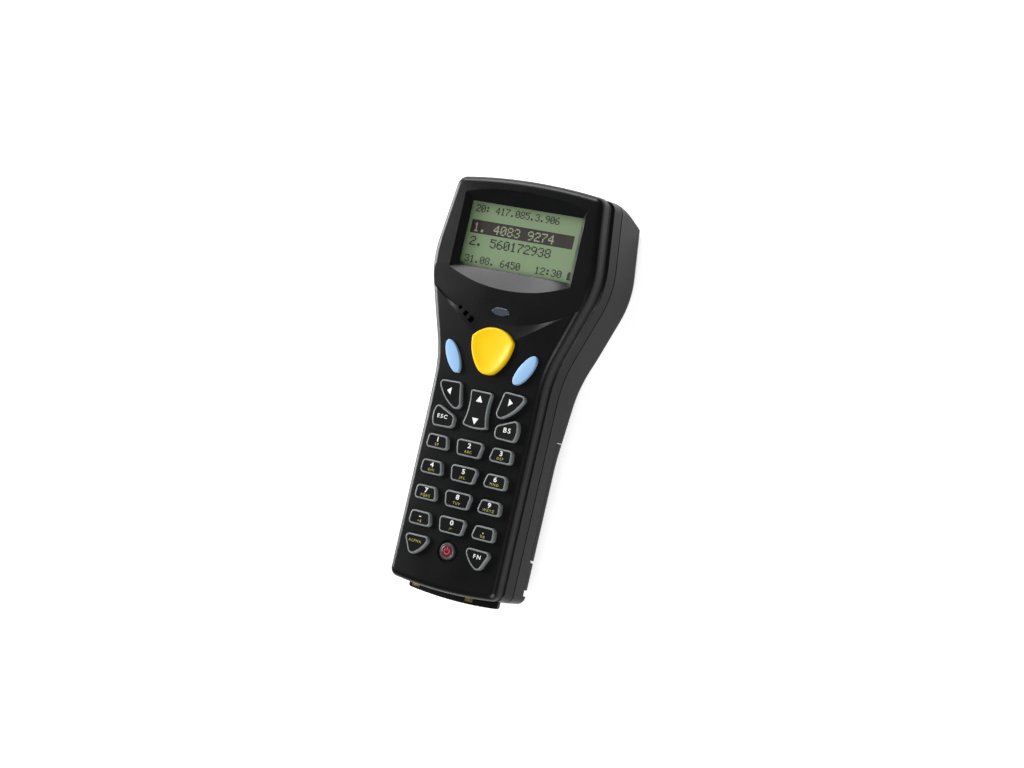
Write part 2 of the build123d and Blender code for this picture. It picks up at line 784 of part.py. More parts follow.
def battery_latch():
    """Sliding latch under the cover's lower end, held in the shell by its keel."""
    body = rear_body() & long_block(far, latch_bottom, latch_top, -far, latch_floor() - latch_slide_gap)
    body -= below_back(latch_inset)
    nose = long_block(latch_nose_half, latch_top - latch_keel_length, cover_bottom - latch_nose_gap,
                      latch_floor() - latch_thickness, latch_floor() - latch_thickness / 2)
    head_low = latch_floor() + latch_floor_wall + latch_slide_gap
    middle = (latch_top + latch_bottom) / 2
    half_length = latch_keel_length / 2
    head = long_block(latch_keel_half + latch_head_grow, middle - half_length, middle + half_length,
                      head_low, head_low + latch_head_thickness)
    return body + nose + latch_keel() + head


# ---------------------------------------------------------------- seal, boards and modules
def ring(grow, width, low, high):
    """Band that follows the housing outline."""
    band = housing_outline(grow=grow) - housing_outline(grow=grow - width)
    return Pos(0, 0, low) * extrude(band, high - low)


def seam_gasket():
    half = seam_gap / 2 - bond
    return ring(-gasket_inset, gasket_width, seam_level - half, seam_level + half)


def main_board():
    """Board that follows the housing, hung on the shoulders of the screw bosses."""
    outline = housing_outline(cap_step_grip, cap_step_head, -wall - board_clearance)
    body = Pos(0, 0, board_level - board_thickness) * extrude(outline, board_thickness)
    body &= long_block(far, board_bottom, board_top, 0, far)
    for x, y in screw_places():
        body -= post(x, y, 0, far, boss_radius + head_clearance)
    return body


def keypad_mat(keys):
    """Silicone mat on the board with a pillar under every key."""
    body = long_block(mat_half, mat_bottom, mat_top, board_level, board_level + mat_thickness)
    body = fillet(body.edges().filter_by(Axis.Z), mat_corner)
    for key in keys.values():
        body += Pos(0, 0, board_level + mat_thickness) * extrude(key.cap(-key_flange), mat_pillar)
    return body + long_block(2 * rocker_rib, rocker_centre - rocker_rib, rocker_centre + rocker_rib,
                             board_level + mat_thickness, pillar_top())


def display_lens():
    level = window_level - bond - lens_thickness
    return Pos(0, 0, level) * extrude(window_outline(lens_margin, lens_margin), lens_thickness)


def lcd_panel():
    level = window_level - 2 * bond - lens_thickness - panel_thickness
    return Pos(0, 0, level) * extrude(window_outline(panel_margin_side, panel_margin_end), panel_thickness)


def backlight_tray():
    high = window_level - 3 * bond - lens_thickness - panel_thickness
    tray = extrude(window_outline(panel_margin_side, panel_margin_end), high - board_level)
    return Pos(0, 0, board_level) * fillet(tray.edges().filter_by(Axis.Z), tray_corner)


def led_lens():
    """Light guide from the board up to the oval lens on the pad."""
    top = pad_height(lens_station) + lens_proud
    low = board_level + 2 * bond
    body = Pos(0, 0, low) * extrude(lens_outline(-key_flange), flange_low() - low)
    body += Pos(0, 0, flange_low()) * extrude(lens_outline(key_flange), key_flange_thickness)
    cap = Pos(0, 0, flange_low()) * extrude(lens_outline(), top - flange_low())
    return body + fillet(cap.faces().sort_by(Axis.Z)[-1].edges(), lens_proud)


def beeper():
    return post(beeper_x, beeper_station, board_level, board_level + beeper_height, beeper_radius)


def radio_module():
    under = board_level - board_thickness
    return long_block(radio_half, radio_station - radio_length / 2, radio_station + radio_length / 2,
                      under - radio_thickness, under)


def backup_cell():
    under = board_level - board_thickness
    return post(cell_x, cell_station, under - cell_thickness, under, cell_radius)


def scan_engine():
    """Scan engine with a tunnel for the beam in its face."""
    front = engine_front()
    body = long_block(engine_half, front - engine_length, front, engine_floor, engine_floor + engine_height)
    body = chamfer(body.edges().filter_by(Axis.Z), engine_chamfer)
    return body - long_block(beam_half, front - engine_gap, front + cut_margin, engine_floor + engine_gap,
                             engine_floor + engine_height - engine_gap)


def scan_window():
    return scan_opening(0, window_recess, window_recess + window_thickness)


def scan_window_seal():
    near = window_recess + window_thickness
    outer = scan_opening(0, near + bond / 2, near + seal_thickness - bond / 2)
    return outer - scan_opening(-window_lip, near - cut_margin, near + cut_margin)


def dock_tongue():
    """Plate that reaches out of the grip's lower end, its edge bowed like the grip's."""
    level = seam_level + seam_gap / 2 + bond
    rise = grip_end_rise * (tongue_half / grip_half) ** 2
    corner = tongue_tip + rise
    arc = ThreePointArc((-tongue_half, corner), (0, tongue_tip), (tongue_half, corner))
    rest = Polyline((tongue_half, corner), (tongue_half, tongue_inner), (-tongue_half, tongue_inner),
                    (-tongue_half, corner))
    face = rounded(make_face([arc, rest]), [(tongue_half, corner, tongue_corner)])
    return Pos(0, 0, level) * extrude(face, tongue_thickness)


def dock_contacts():
    """Gold strips on the tongue."""
    level = seam_level + seam_gap / 2 + bond + tongue_thickness
    strips = Part()
    for x in dock_contact_places:
        low = tongue_tip + dock_contact_inset + grip_end_rise * (x / grip_half) ** 2
        strips += long_block(dock_contact_width / 2, low, low + dock_contact_reach, level,
                             level + dock_contact_thickness, x)
    return strips


def threaded_inserts():
    """Brass inserts in the front shell's bosses."""
    low = seam_level + seam_gap / 2 + insert_lead
    inserts = Part()
    for x, y in screw_places():
        inserts += post(x, y, low, low + insert_length, insert_radius) - post(
            x, y, 0, far, screw_radius + thread_clearance)
    return inserts


def housing_screws():
    """Pan head screws, seated deep in the rear shell's towers."""
    tip = seam_level + seam_gap / 2 + insert_lead + insert_length
    screws = Part()
    for x, y in screw_places():
        screws += post(x, y, screw_seat - screw_head_height, screw_seat, screw_head_radius)
        screws += post(x, y, screw_seat - screw_head_height, tip, screw_radius)
    return screws


# ---------------------------------------------------------------- write the pieces
def build():
    """Every piece of the terminal, by node name."""
    keys = all_keys()
    pieces = {"front_shell": front_shell(keys), "rear_shell": rear_shell(), "seam_gasket": seam_gasket(),
              "display_lens": display_lens(), "lcd_panel": lcd_panel(), "backlight_tray": backlight_tray(),
              "led_lens": led_lens(), "beeper": beeper(), "keypad_mat": keypad_mat(keys),
              "main_board": main_board(), "radio_module": radio_module(), "backup_cell": backup_cell(),
              "scan_engine": scan_engine(), "scan_window": scan_window(),
              "scan_window_seal": scan_window_seal(), "battery_contacts": battery_contacts(),
              "dock_tongue": dock_tongue(), "dock_contacts": dock_contacts(),
              "threaded_inserts": threaded_inserts(), "housing_screws": housing_screws(),
              "battery_cover": battery_cover(), "battery_pack": battery_pack(),
              "battery_terminals": battery_terminals(), "battery_latch": battery_latch(),
              "key_rocker": rocker_body()}
    pieces.update({name: key_body(key) for name, key in keys.items()})
    return pieces


os.makedirs("parts", exist_ok=True)
for name, piece in build().items():
    export_step(piece, f"parts/{name}.step")
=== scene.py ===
import logging
import math
from dataclasses import dataclass, field
from enum import Enum
from functools import cache
from typing import Iterable, Optional, Sequence

import bmesh
import bpy
from mathutils import Matrix, Vector


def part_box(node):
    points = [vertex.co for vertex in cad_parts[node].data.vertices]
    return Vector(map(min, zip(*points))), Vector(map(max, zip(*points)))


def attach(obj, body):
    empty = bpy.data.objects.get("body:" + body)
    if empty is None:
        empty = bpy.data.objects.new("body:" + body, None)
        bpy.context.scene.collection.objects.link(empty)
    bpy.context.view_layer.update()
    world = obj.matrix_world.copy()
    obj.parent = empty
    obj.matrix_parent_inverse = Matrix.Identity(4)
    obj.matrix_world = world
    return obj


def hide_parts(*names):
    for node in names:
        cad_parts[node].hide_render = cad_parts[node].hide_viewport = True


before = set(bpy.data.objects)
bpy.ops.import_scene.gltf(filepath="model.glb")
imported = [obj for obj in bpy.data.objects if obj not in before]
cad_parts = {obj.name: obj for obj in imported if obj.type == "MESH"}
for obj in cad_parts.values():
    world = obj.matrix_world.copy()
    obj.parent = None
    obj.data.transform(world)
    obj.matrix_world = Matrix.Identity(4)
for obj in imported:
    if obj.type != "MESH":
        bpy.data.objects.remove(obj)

log = logging.getLogger("data_terminal")

HOUSING = "housing"
LATCH = "latch"
MERGE_DISTANCE = 0.002      # vertices of a CAD mesh nearer than this are one, in millimetres
FLAT_ANGLE = 0.4            # faces of a CAD mesh that turn less than this are one, in degrees
PRINT_HEIGHT = 0.03         # thickness of printed ink, in millimetres


def mm(value: float) -> float:
    """Return a length given in millimetres as metres."""
    return value * 0.001


def in_mm(value: float) -> float:
    """Return a length given in metres as millimetres."""
    return value * 1000


def point(x: float, y: float, z: float) -> Vector:
    """Return a place given in millimetres as a vector in metres."""
    return Vector((mm(x), mm(y), mm(z)))


# ---------------------------------------------------------------- shader groups
class GroupBuilder:
    """Builds one shader node group with named sockets."""

    def __init__(self, name: str) -> None:
        """Start an empty group.

        Args:
            name: Name of the node group.
        """
        self.tree = bpy.data.node_groups.new(name, "ShaderNodeTree")
        self.inlet = self.tree.nodes.new("NodeGroupInput")
        self.outlet = self.tree.nodes.new("NodeGroupOutput")

    def socket_in(self, name: str, kind: str, default: Optional[float] = None) -> None:
        """Add a named input.

        Args:
            name: Socket name.
            kind: Socket type, such as NodeSocketFloat.
            default: Value for a float input.
        """
        item = self.tree.interface.new_socket(name=name, in_out="INPUT", socket_type=kind)
        if default is not None:
            item.default_value = default

    def socket_out(self, name: str, kind: str) -> None:
        """Add a named output of the given socket type."""
        self.tree.interface.new_socket(name=name, in_out="OUTPUT", socket_type=kind)

    def node(self, kind: str, **settings: object) -> bpy.types.Node:
        """Add a node.

        Args:
            kind: Node type.
            settings: Attributes to set on it.

        Returns:
            The new node.
        """
        made = self.tree.nodes.new(kind)
        for key, value in settings.items():
            setattr(made, key, value)
        return made

    def join(self, source: bpy.types.NodeSocket, target: bpy.types.NodeSocket) -> None:
        """Link two sockets."""
        self.tree.links.new(source, target)

    def math(self, operation: str, first: object, second: object) -> bpy.types.NodeSocket:
        """Add a math node whose operands are sockets or numbers.

        Args:
            operation: Math operation.
            first: Socket or number.
            second: Socket or number.

        Returns:
            The result socket.
        """
        made = self.node("ShaderNodeMath", operation=operation)
        for slot, operand in enumerate((first, second)):
            if isinstance(operand, bpy.types.NodeSocket):
                self.join(operand, made.inputs[slot])
            else:
                made.inputs[slot].default_value = operand
        return made.outputs[0]


def moulded_grain_group() -> bpy.types.NodeTree:
    """Build the fine pebbled grain of a moulded plastic skin.

    Returns:
        A group with outputs Height and Tone, both between 0 and 1.
    """
    build = GroupBuilder("moulded_grain")
    build.socket_in("Vector", "NodeSocketVector")
    build.socket_in("Grain Scale", "NodeSocketFloat", 3200.0)
    build.socket_in("Tone Scale", "NodeSocketFloat", 60.0)
    build.socket_out("Height", "NodeSocketFloat")
    build.socket_out("Tone", "NodeSocketFloat")
    pebbles = build.node("ShaderNodeTexVoronoi", feature="SMOOTH_F1")
    pebbles.inputs["Smoothness"].default_value = 0.6
    fine = build.node("ShaderNodeTexNoise")
    fine.inputs["Detail"].default_value = 3.0
    slow = build.node("ShaderNodeTexNoise")
    slow.inputs["Detail"].default_value = 4.0
    slow.inputs["Roughness"].default_value = 0.6
    for texture, scale in ((pebbles, "Grain Scale"), (fine, "Grain Scale"), (slow, "Tone Scale")):
        build.join(build.inlet.outputs["Vector"], texture.inputs["Vector"])
        build.join(build.inlet.outputs[scale], texture.inputs["Scale"])
    height = build.math("MULTIPLY", pebbles.outputs["Distance"], 0.7)
    blended = build.math("ADD", height, build.math("MULTIPLY", fine.outputs["Fac"], 0.4))
    build.join(blended, build.outlet.inputs["Height"])
    build.join(slow.outputs["Fac"], build.outlet.inputs["Tone"])
    return build.tree


def handling_group() -> bpy.types.NodeTree:
    """Build the marks of handling: soft polished patches and a few hair scratches.

    Returns:
        A group with outputs Polish and Scratch, both between 0 and 1.
    """
    build = GroupBuilder("handling_marks")
    build.socket_in("Vector", "NodeSocketVector")
    build.socket_in("Patch Scale", "NodeSocketFloat", 45.0)
    build.socket_in("Scratch Scale", "NodeSocketFloat", 260.0)
    build.socket_out("Polish", "NodeSocketFloat")
    build.socket_out("Scratch", "NodeSocketFloat")
    patches = build.node("ShaderNodeTexNoise")
    patches.inputs["Detail"].default_value = 2.0
    build.join(build.inlet.outputs["Vector"], patches.inputs["Vector"])
    build.join(build.inlet.outputs["Patch Scale"], patches.inputs["Scale"])
    shaped = build.node("ShaderNodeMapRange")
    for name, value in (("From Min", 0.42), ("From Max", 0.68)):
        shaped.inputs[name].default_value = value
    build.join(patches.outputs["Fac"], shaped.inputs["Value"])
    build.join(shaped.outputs["Result"], build.outlet.inputs["Polish"])
    stretched = build.node("ShaderNodeMapping")
    stretched.inputs["Scale"].default_value = (1.0, 0.04, 1.0)
    stretched.inputs["Rotation"].default_value = (0.0, 0.0, 0.5)
    build.join(build.inlet.outputs["Vector"], stretched.inputs["Vector"])
    hairs = build.node("ShaderNodeTexNoise")
    hairs.inputs["Detail"].default_value = 1.0
    build.join(stretched.outputs["Vector"], hairs.inputs["Vector"])
    build.join(build.inlet.outputs["Scratch Scale"], hairs.inputs["Scale"])
    thin = build.node("ShaderNodeMapRange")
    for name, value in (("From Min", 0.70), ("From Max", 0.74)):
        thin.inputs[name].default_value = value
    build.join(hairs.outputs["Fac"], thin.inputs["Value"])
    build.join(thin.outputs["Result"], build.outlet.inputs["Scratch"])
    return build.tree


class Effects:
    """The shader groups that several finishes share, each built once."""

    _built: dict[str, bpy.types.NodeTree] = {}

    @classmethod
    def get(cls, name: str) -> bpy.types.NodeTree:
        """Return a shared group, building it the first time.

        Args:
            name: Either "grain" or "handling".

        Returns:
            The node group.
        """
        makers = {"grain": moulded_grain_group, "handling": handling_group}
        if name not in cls._built:
            cls._built[name] = makers[name]()
        return cls._built[name]


# ---------------------------------------------------------------- finishes
class MaterialBuilder:
    """Fills one material with a Principled shader and textures on Object coordinates."""

    def __init__(self, name: str) -> None:
        """Start a material.

        Args:
            name: Name of the material.
        """
        self.material = bpy.data.materials.new(f"finish_{name}")
        self.material.use_nodes = True
        self.tree = self.material.node_tree
        self.shader = self.tree.nodes["Principled BSDF"]
        self.place = self.tree.nodes.new("ShaderNodeTexCoord").outputs["Object"]

    def group(self, name: str, **values: float) -> bpy.types.Node:
        """Place a shared group.

        Args:
            name: Name of the shared effect.
            values: Input values, with underscores for spaces.

        Returns:
            The group node.
        """
        node = self.tree.nodes.new("ShaderNodeGroup")
        node.node_tree = Effects.get(name)
        for key, value in values.items():
            node.inputs[key.replace("_", " ")].default_value = value
        self.tree.links.new(self.place, node.inputs["Vector"])
        return node

    def spread(self, source: bpy.types.NodeSocket, low: float, high: float) -> bpy.types.NodeSocket:
        """Spread a mask between two values.

        Args:
            source: Mask between 0 and 1.
            low: Value where the mask is 0.
            high: Value where the mask is 1.

        Returns:
            The spread value.
        """
        node = self.tree.nodes.new("ShaderNodeMapRange")
        node.inputs["To Min"].default_value = low
        node.inputs["To Max"].default_value = high
        self.tree.links.new(source, node.inputs["Value"])
        return node.outputs["Result"]

    def tint(self, mask: bpy.types.NodeSocket, first: Sequence[float],
             second: Sequence[float]) -> bpy.types.NodeSocket:
        """Mix two colours by a mask.

        Args:
            mask: Mask between 0 and 1.
            first: Colour where the mask is 0.
            second: Colour where the mask is 1.

        Returns:
            The mixed colour.
        """
        node = self.tree.nodes.new("ShaderNodeMix")
        node.data_type = "RGBA"
        node.inputs["A"].default_value = (*first, 1.0)
        node.inputs["B"].default_value = (*second, 1.0)
        self.tree.links.new(mask, node.inputs["Factor"])
        return node.outputs["Result"]

    def bump(self, height: bpy.types.NodeSocket, depth: float, strength: float) -> None:
        """Feed a height to the shader's normal.

        Args:
            height: Height between 0 and 1.
            depth: Full height in metres.
            strength: Strength of the bump.
        """
        node = self.tree.nodes.new("ShaderNodeBump")
        node.inputs["Distance"].default_value = depth
        node.inputs["Strength"].default_value = strength
        self.tree.links.new(height, node.inputs["Height"])
        self.tree.links.new(node.outputs["Normal"], self.shader.inputs["Normal"])

    def feed(self, name: str, source: bpy.types.NodeSocket) -> None:
        """Link a value to one of the shader's inputs."""
        self.tree.links.new(source, self.shader.inputs[name])

    def fix(self, **values: object) -> None:
        """Set constants on the shader's own inputs, with underscores for spaces."""
        for key, value in values.items():
            self.shader.inputs[key.replace("_", " ")].default_value = value


def shade(colour: Sequence[float], factor: float) -> tuple[float, ...]:
    """Return a colour made lighter or darker by a factor."""
    return tuple(min(channel * factor, 1.0) for channel in colour)


@dataclass(frozen=True)
class MouldedPlastic:
    """Moulded plastic with a fine grain, slow tone changes and handling marks."""

    name: str
    colour: tuple[float, float, float]
    roughness: float = 0.45
    polish: float = 0.08
    grain_scale: float = 3200.0
    grain_depth: float = 0.02
    grain_strength: float = 0.25
    tone: float = 0.12
    coat: float = 0.0
    glow: float = 0.0
    specular: float = 0.5

    def material(self) -> bpy.types.Material:
        """Build the material.

        Returns:
            The new material.
        """
        build = MaterialBuilder(self.name)
        grain = build.group("grain", Grain_Scale=self.grain_scale)
        marks = build.group("handling")
        build.feed("Base Color", build.tint(grain.outputs["Tone"], shade(self.colour, 1 - self.tone),
                                            shade(self.colour, 1 + self.tone)))
        build.feed("Roughness", build.spread(marks.outputs["Polish"], self.roughness,
                                             self.roughness - self.polish))
        build.bump(grain.outputs["Height"], mm(self.grain_depth), self.grain_strength)
        build.fix(Specular_IOR_Level=self.specular, Coat_Weight=self.coat, Coat_Roughness=0.12,
                  Subsurface_Weight=self.glow, Subsurface_Scale=mm(1.0))
        return build.material


@dataclass(frozen=True)
class PlatedMetal:
    """Plated or bare metal with brushed streaks and faint scratches."""

    name: str
    colour: tuple[float, float, float]
    roughness: float = 0.25
    streaks: float = 0.12

    def material(self) -> bpy.types.Material:
        """Build the material.

        Returns:
            The new material.
        """
        build = MaterialBuilder(self.name)
        marks = build.group("handling", Patch_Scale=400.0, Scratch_Scale=2200.0)
        build.feed("Base Color", build.tint(marks.outputs["Scratch"], self.colour, shade(self.colour, 0.7)))
        build.feed("Roughness", build.spread(marks.outputs["Polish"], self.roughness + self.streaks,
                                             self.roughness))
        build.bump(marks.outputs["Scratch"], mm(0.01), 0.3)
        build.fix(Metallic=1.0)
        return build.material


@dataclass(frozen=True)
class ClearWindow:
    """Clear or tinted window that lets what lies behind it show."""

    name: str
    colour: tuple[float, float, float]
    opacity: float
    roughness: float = 0.06

    def material(self) -> bpy.types.Material:
        """Build the material.

        Returns:
            The new material.
        """
        build = MaterialBuilder(self.name)
        marks = build.group("handling", Patch_Scale=30.0, Scratch_Scale=500.0)
        build.feed("Roughness", build.spread(marks.outputs["Polish"], self.roughness + 0.05, self.roughness))
        build.feed("Alpha", build.spread(marks.outputs["Scratch"], self.opacity,
                                         min(self.opacity + 0.03, 1.0)))
        build.feed("Base Color", build.tint(marks.outputs["Polish"], self.colour, shade(self.colour, 1.1)))
        return build.material


@dataclass(frozen=True)
class LiquidCrystal:
    """Reflective liquid crystal cell: a fine dot grid over an olive ground."""

    name: str
    colour: tuple[float, float, float]
    dot_pitch: float = 0.33
    contrast: float = 0.07
    roughness: float = 0.5

    def material(self) -> bpy.types.Material:
        """Build the material.

        Returns:
            The new material.
        """
        build = MaterialBuilder(self.name)
        lines = []
        for direction in ("X", "Y"):
            wave = build.tree.nodes.new("ShaderNodeTexWave")
            wave.bands_direction = direction
            wave.inputs["Scale"].default_value = math.pi / (10 * mm(self.dot_pitch))
            build.tree.links.new(build.place, wave.inputs["Vector"])
            lines.append(wave.outputs["Fac"])
        grid = build.tree.nodes.new("ShaderNodeMath")
        grid.operation = "MULTIPLY"
        for slot, line in enumerate(lines):
            build.tree.links.new(line, grid.inputs[slot])
        cloud = build.group("grain", Tone_Scale=35.0)
        mixed = build.tree.nodes.new("ShaderNodeMath")
        mixed.operation = "MULTIPLY"
        build.tree.links.new(grid.outputs[0], mixed.inputs[0])
        build.tree.links.new(cloud.outputs["Tone"], mixed.inputs[1])
        build.feed("Base Color", build.tint(mixed.outputs[0], shade(self.colour, 1 - self.contrast),
                                            shade(self.colour, 1 + self.contrast)))
        build.fix(Roughness=self.roughness, Specular_IOR_Level=0.3)
        return build.material


class Finish(Enum):
    """Every finish on the terminal."""

    HOUSING = MouldedPlastic("housing", (0.0046, 0.0047, 0.0050), roughness=0.30, polish=0.05,
                             grain_scale=3000.0, grain_depth=0.03, grain_strength=0.35, tone=0.18,
                             specular=0.32)
    LATCH = MouldedPlastic("latch", (0.006, 0.006, 0.0064), roughness=0.40)
    TONGUE = MouldedPlastic("tongue", (0.005, 0.005, 0.0053), roughness=0.30, grain_strength=0.1)
    SEAL = MouldedPlastic("seal_rubber", (0.006, 0.006, 0.006), roughness=0.75, grain_strength=0.15)
    KEY_SIDE = MouldedPlastic("key_side", (0.21, 0.225, 0.23), roughness=0.38, polish=0.1, grain_strength=0.1,
                              glow=0.05, tone=0.06)
    KEY_TOP = MouldedPlastic("key_lacquer", (0.006, 0.006, 0.0065), roughness=0.26, polish=0.08,
                             grain_strength=0.06, coat=0.2, tone=0.2)
    WHITE_PRINT = MouldedPlastic("white_print", (0.86, 0.86, 0.85), roughness=0.5, grain_strength=0.05,
                                 tone=0.03)
    OLIVE_PRINT = MouldedPlastic("olive_print", (0.46, 0.42, 0.10), roughness=0.5, grain_strength=0.05,
                                 tone=0.1)
    TRIGGER = MouldedPlastic("trigger_yellow", (0.94, 0.60, 0.001), roughness=0.40, polish=0.08,
                             grain_strength=0.08, glow=0.12, tone=0.03, specular=0.35)
    SIDE_KEY = MouldedPlastic("side_key_blue", (0.31, 0.53, 0.80), roughness=0.34, polish=0.08,
                              grain_strength=0.08, glow=0.10, tone=0.04)
    POWER = MouldedPlastic("power_red", (0.16, 0.007, 0.018), roughness=0.22, grain_strength=0.05, glow=0.15,
                           coat=0.4, tone=0.1)
    POWER_MARK = MouldedPlastic("power_mark", (0.36, 0.12, 0.13), roughness=0.4, grain_strength=0.05)
    POWER_RIM = MouldedPlastic("power_rim", (0.055, 0.058, 0.060), roughness=0.35, grain_strength=0.1)
    LIGHT_GUIDE = MouldedPlastic("light_guide", (0.050, 0.065, 0.085), roughness=0.16, grain_strength=0.04,
                                 coat=0.6, glow=0.1)
    DISPLAY = LiquidCrystal("display_cell", (0.245, 0.345, 0.195))
    DISPLAY_INK = MouldedPlastic("display_ink", (0.016, 0.018, 0.010), roughness=0.55, grain_strength=0.03)
    DISPLAY_BAR = MouldedPlastic("display_bar", (0.020, 0.011, 0.009), roughness=0.55, grain_strength=0.03)
    DISPLAY_PALE = MouldedPlastic("display_pale", (0.31, 0.35, 0.23), roughness=0.55, grain_strength=0.03)
    WINDOW = ClearWindow("display_window", (0.02, 0.025, 0.02), 0.07)
    SCAN_FILTER = ClearWindow("scan_filter", (0.035, 0.002, 0.004), 0.86, roughness=0.05)
    TRAY = MouldedPlastic("tray_white", (0.72, 0.72, 0.70), roughness=0.5)
    MAT = MouldedPlastic("mat_silicone", (0.16, 0.17, 0.18), roughness=0.6)
    BOARD = MouldedPlastic("board_mask", (0.010, 0.075, 0.030), roughness=0.30, tone=0.25, coat=0.3)
    BEEPER = MouldedPlastic("beeper_case", (0.008, 0.008, 0.008), roughness=0.3)
    PACK = MouldedPlastic("pack_wrap", (0.035, 0.036, 0.040), roughness=0.5, tone=0.15)
    ENGINE = PlatedMetal("engine_casting", (0.20, 0.20, 0.21), roughness=0.45)
    CAN = PlatedMetal("module_can", (0.62, 0.62, 0.63), roughness=0.28)
    GOLD = PlatedMetal("gold_plate", (0.92, 0.68, 0.26), roughness=0.18)
    BRASS = PlatedMetal("insert_brass", (0.72, 0.55, 0.25), roughness=0.3)
    SCREW = PlatedMetal("screw_steel", (0.30, 0.30, 0.31), roughness=0.3)

    @cache
    def get(self) -> bpy.types.Material:
        """Return the finish's material, building it the first time."""
        return self.value.material()


# ---------------------------------------------------------------- pieces
def add_piece(name: str, shape: bmesh.types.BMesh, finishes: Sequence[Finish], body: str,
              sharp_angle: float = 40.0) -> bpy.types.Object:
    """Turn a bmesh into a finished piece that rides on a body.

    Args:
        name: Name of the piece.
        shape: The shape, whose tagged faces stay flat. It is freed.
        finishes: Finishes in order of the faces' material indices.
        body: CAD body that carries the piece.
        sharp_angle: Edges steeper than this many degrees stay sharp.

    Returns:
        The new object.
    """
    flat = [place for place, face in enumerate(shape.faces) if face.tag]
    for face in shape.faces:
        face.smooth = True
    mesh = bpy.data.meshes.new(name)
    shape.to_mesh(mesh)
    shape.free()
    if "custom_normal" in mesh.attributes:
        mesh.attributes.remove(mesh.attributes["custom_normal"])
    mesh.set_sharp_from_angle(angle=math.radians(sharp_angle))
    for place in flat:
        mesh.polygons[place].use_smooth = False
    made = bpy.data.objects.new(name, mesh)
    bpy.context.scene.collection.objects.link(made)
    for finish in finishes:
        mesh.materials.append(finish.get())
    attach(made, body)
    log.info("%s: %d faces on %s", name, len(mesh.polygons), body)
    return made


def dress(node: str, finish: Finish) -> None:
    """Give a carried-over CAD node its finish.

    Args:
        node: Name of the CAD node.
        finish: Its finish.
    """
    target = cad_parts[node]
    for slot in target.material_slots:
        slot.material = finish.get()
    log.info("%s: dressed as %s", node, finish.value.name)


def merged_copy(node: str) -> bmesh.types.BMesh:
    """Return a merged copy of a CAD node with its flat faces joined.

    Args:
        node: Name of the CAD node.

    Returns:
        The copy as a bmesh.
    """
    shape = bmesh.new()
    shape.from_mesh(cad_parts[node].data)
    bmesh.ops.remove_doubles(shape, verts=shape.verts, dist=mm(MERGE_DISTANCE))
    bmesh.ops.dissolve_limit(shape, angle_limit=math.radians(FLAT_ANGLE), verts=shape.verts,
                             edges=shape.edges)
    return shape


def copy_with_normals(node: str) -> bmesh.types.BMesh:
    """Return a merged copy of a CAD node whose corners keep the CAD surface normals.

    Args:
        node: Name of the CAD node.

    Returns:
        The copy as a bmesh with its normals in the corner layer "kept_normal".
    """
    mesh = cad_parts[node].data.copy()
    kept = mesh.attributes.new("kept_normal", "FLOAT_VECTOR", "CORNER")
    kept.data.foreach_set("vector", [part for corner in mesh.corner_normals for part in corner.vector])
    shape = bmesh.new()
    shape.from_mesh(mesh)
    bpy.data.meshes.remove(mesh)
    bmesh.ops.remove_doubles(shape, verts=shape.verts, dist=mm(MERGE_DISTANCE))
    return shape


def use_kept_normals(piece: bpy.types.Object) -> None:
    """Shade a piece by the normals in its corner layer "kept_normal".

    Args:
        piece: The piece, which loses that layer.
    """
    mesh = piece.data
    normals = [item.vector.copy() for item in mesh.attributes["kept_normal"].data]
    mesh.attributes.remove(mesh.attributes["kept_normal"])
    mesh.normals_split_custom_set(normals)


def run_level(band: Sequence[bmesh.types.BMFace], rounds: int = 12, least_gain: float = 0.01) -> None:
    """Turn the diagonals of a groove's triangles until they run level along the groove.

    Args:
        band: The groove's faces, seen from +Y.
        rounds: How often every diagonal is looked at.
        least_gain: A diagonal turns if it gets this much more level, in millimetres.
    """
    inside = set(band)
    edges = [edge for edge in {edge for face in band for edge in face.edges}
             if len(edge.link_faces) == 2 and inside.issuperset(edge.link_faces)]
    for _ in range(rounds):
        for place, edge in enumerate(edges):
            first, second = (vertex.co.xz for vertex in edge.verts)
            third, fourth = (next(v.co.xz for v in face.verts if v not in edge.verts)
                             for face in edge.link_faces)
            gain = abs(first.y - second.y) - abs(third.y - fourth.y)
            sides = [(third - corner).cross(fourth - corner) for corner in (first, second)]
            crosses = min(sides) < -1e-9 and max(sides) > 1e-9
            if gain > mm(least_gain) and crosses:
                edges[place] = bmesh.utils.edge_rotate(edge) or edge


def even_normals(shape: bmesh.types.BMesh, band: Sequence[bmesh.types.BMFace]) -> None:
    """Give a band of faces one shared normal at each vertex.

    Args:
        shape: The shape, with the corner layer "kept_normal".
        band: The faces.
    """
    layer = shape.loops.layers.float_vector["kept_normal"]
    inside = set(band)
    for vertex in {vertex for face in band for vertex in face.verts}:
        corners = [corner for corner in vertex.link_loops if corner.face in inside]
        shared = sum((corner[layer] for corner in corners), Vector()).normalized()
        for corner in corners:
            corner[layer] = shared


def top_face(shape: bmesh.types.BMesh) -> bmesh.types.BMFace:
    """Find the face on top of a shape.

    Args:
        shape: The shape.

    Returns:
        The largest face that looks up within 0.05 mm of the highest point.
    """
    level = max(vertex.co.z for vertex in shape.verts) - mm(0.05)
    ups = [face for face in shape.faces if face.normal.z > 0.99 and face.calc_center_median().z > level]
    return max(ups, key=lambda face: face.calc_area())


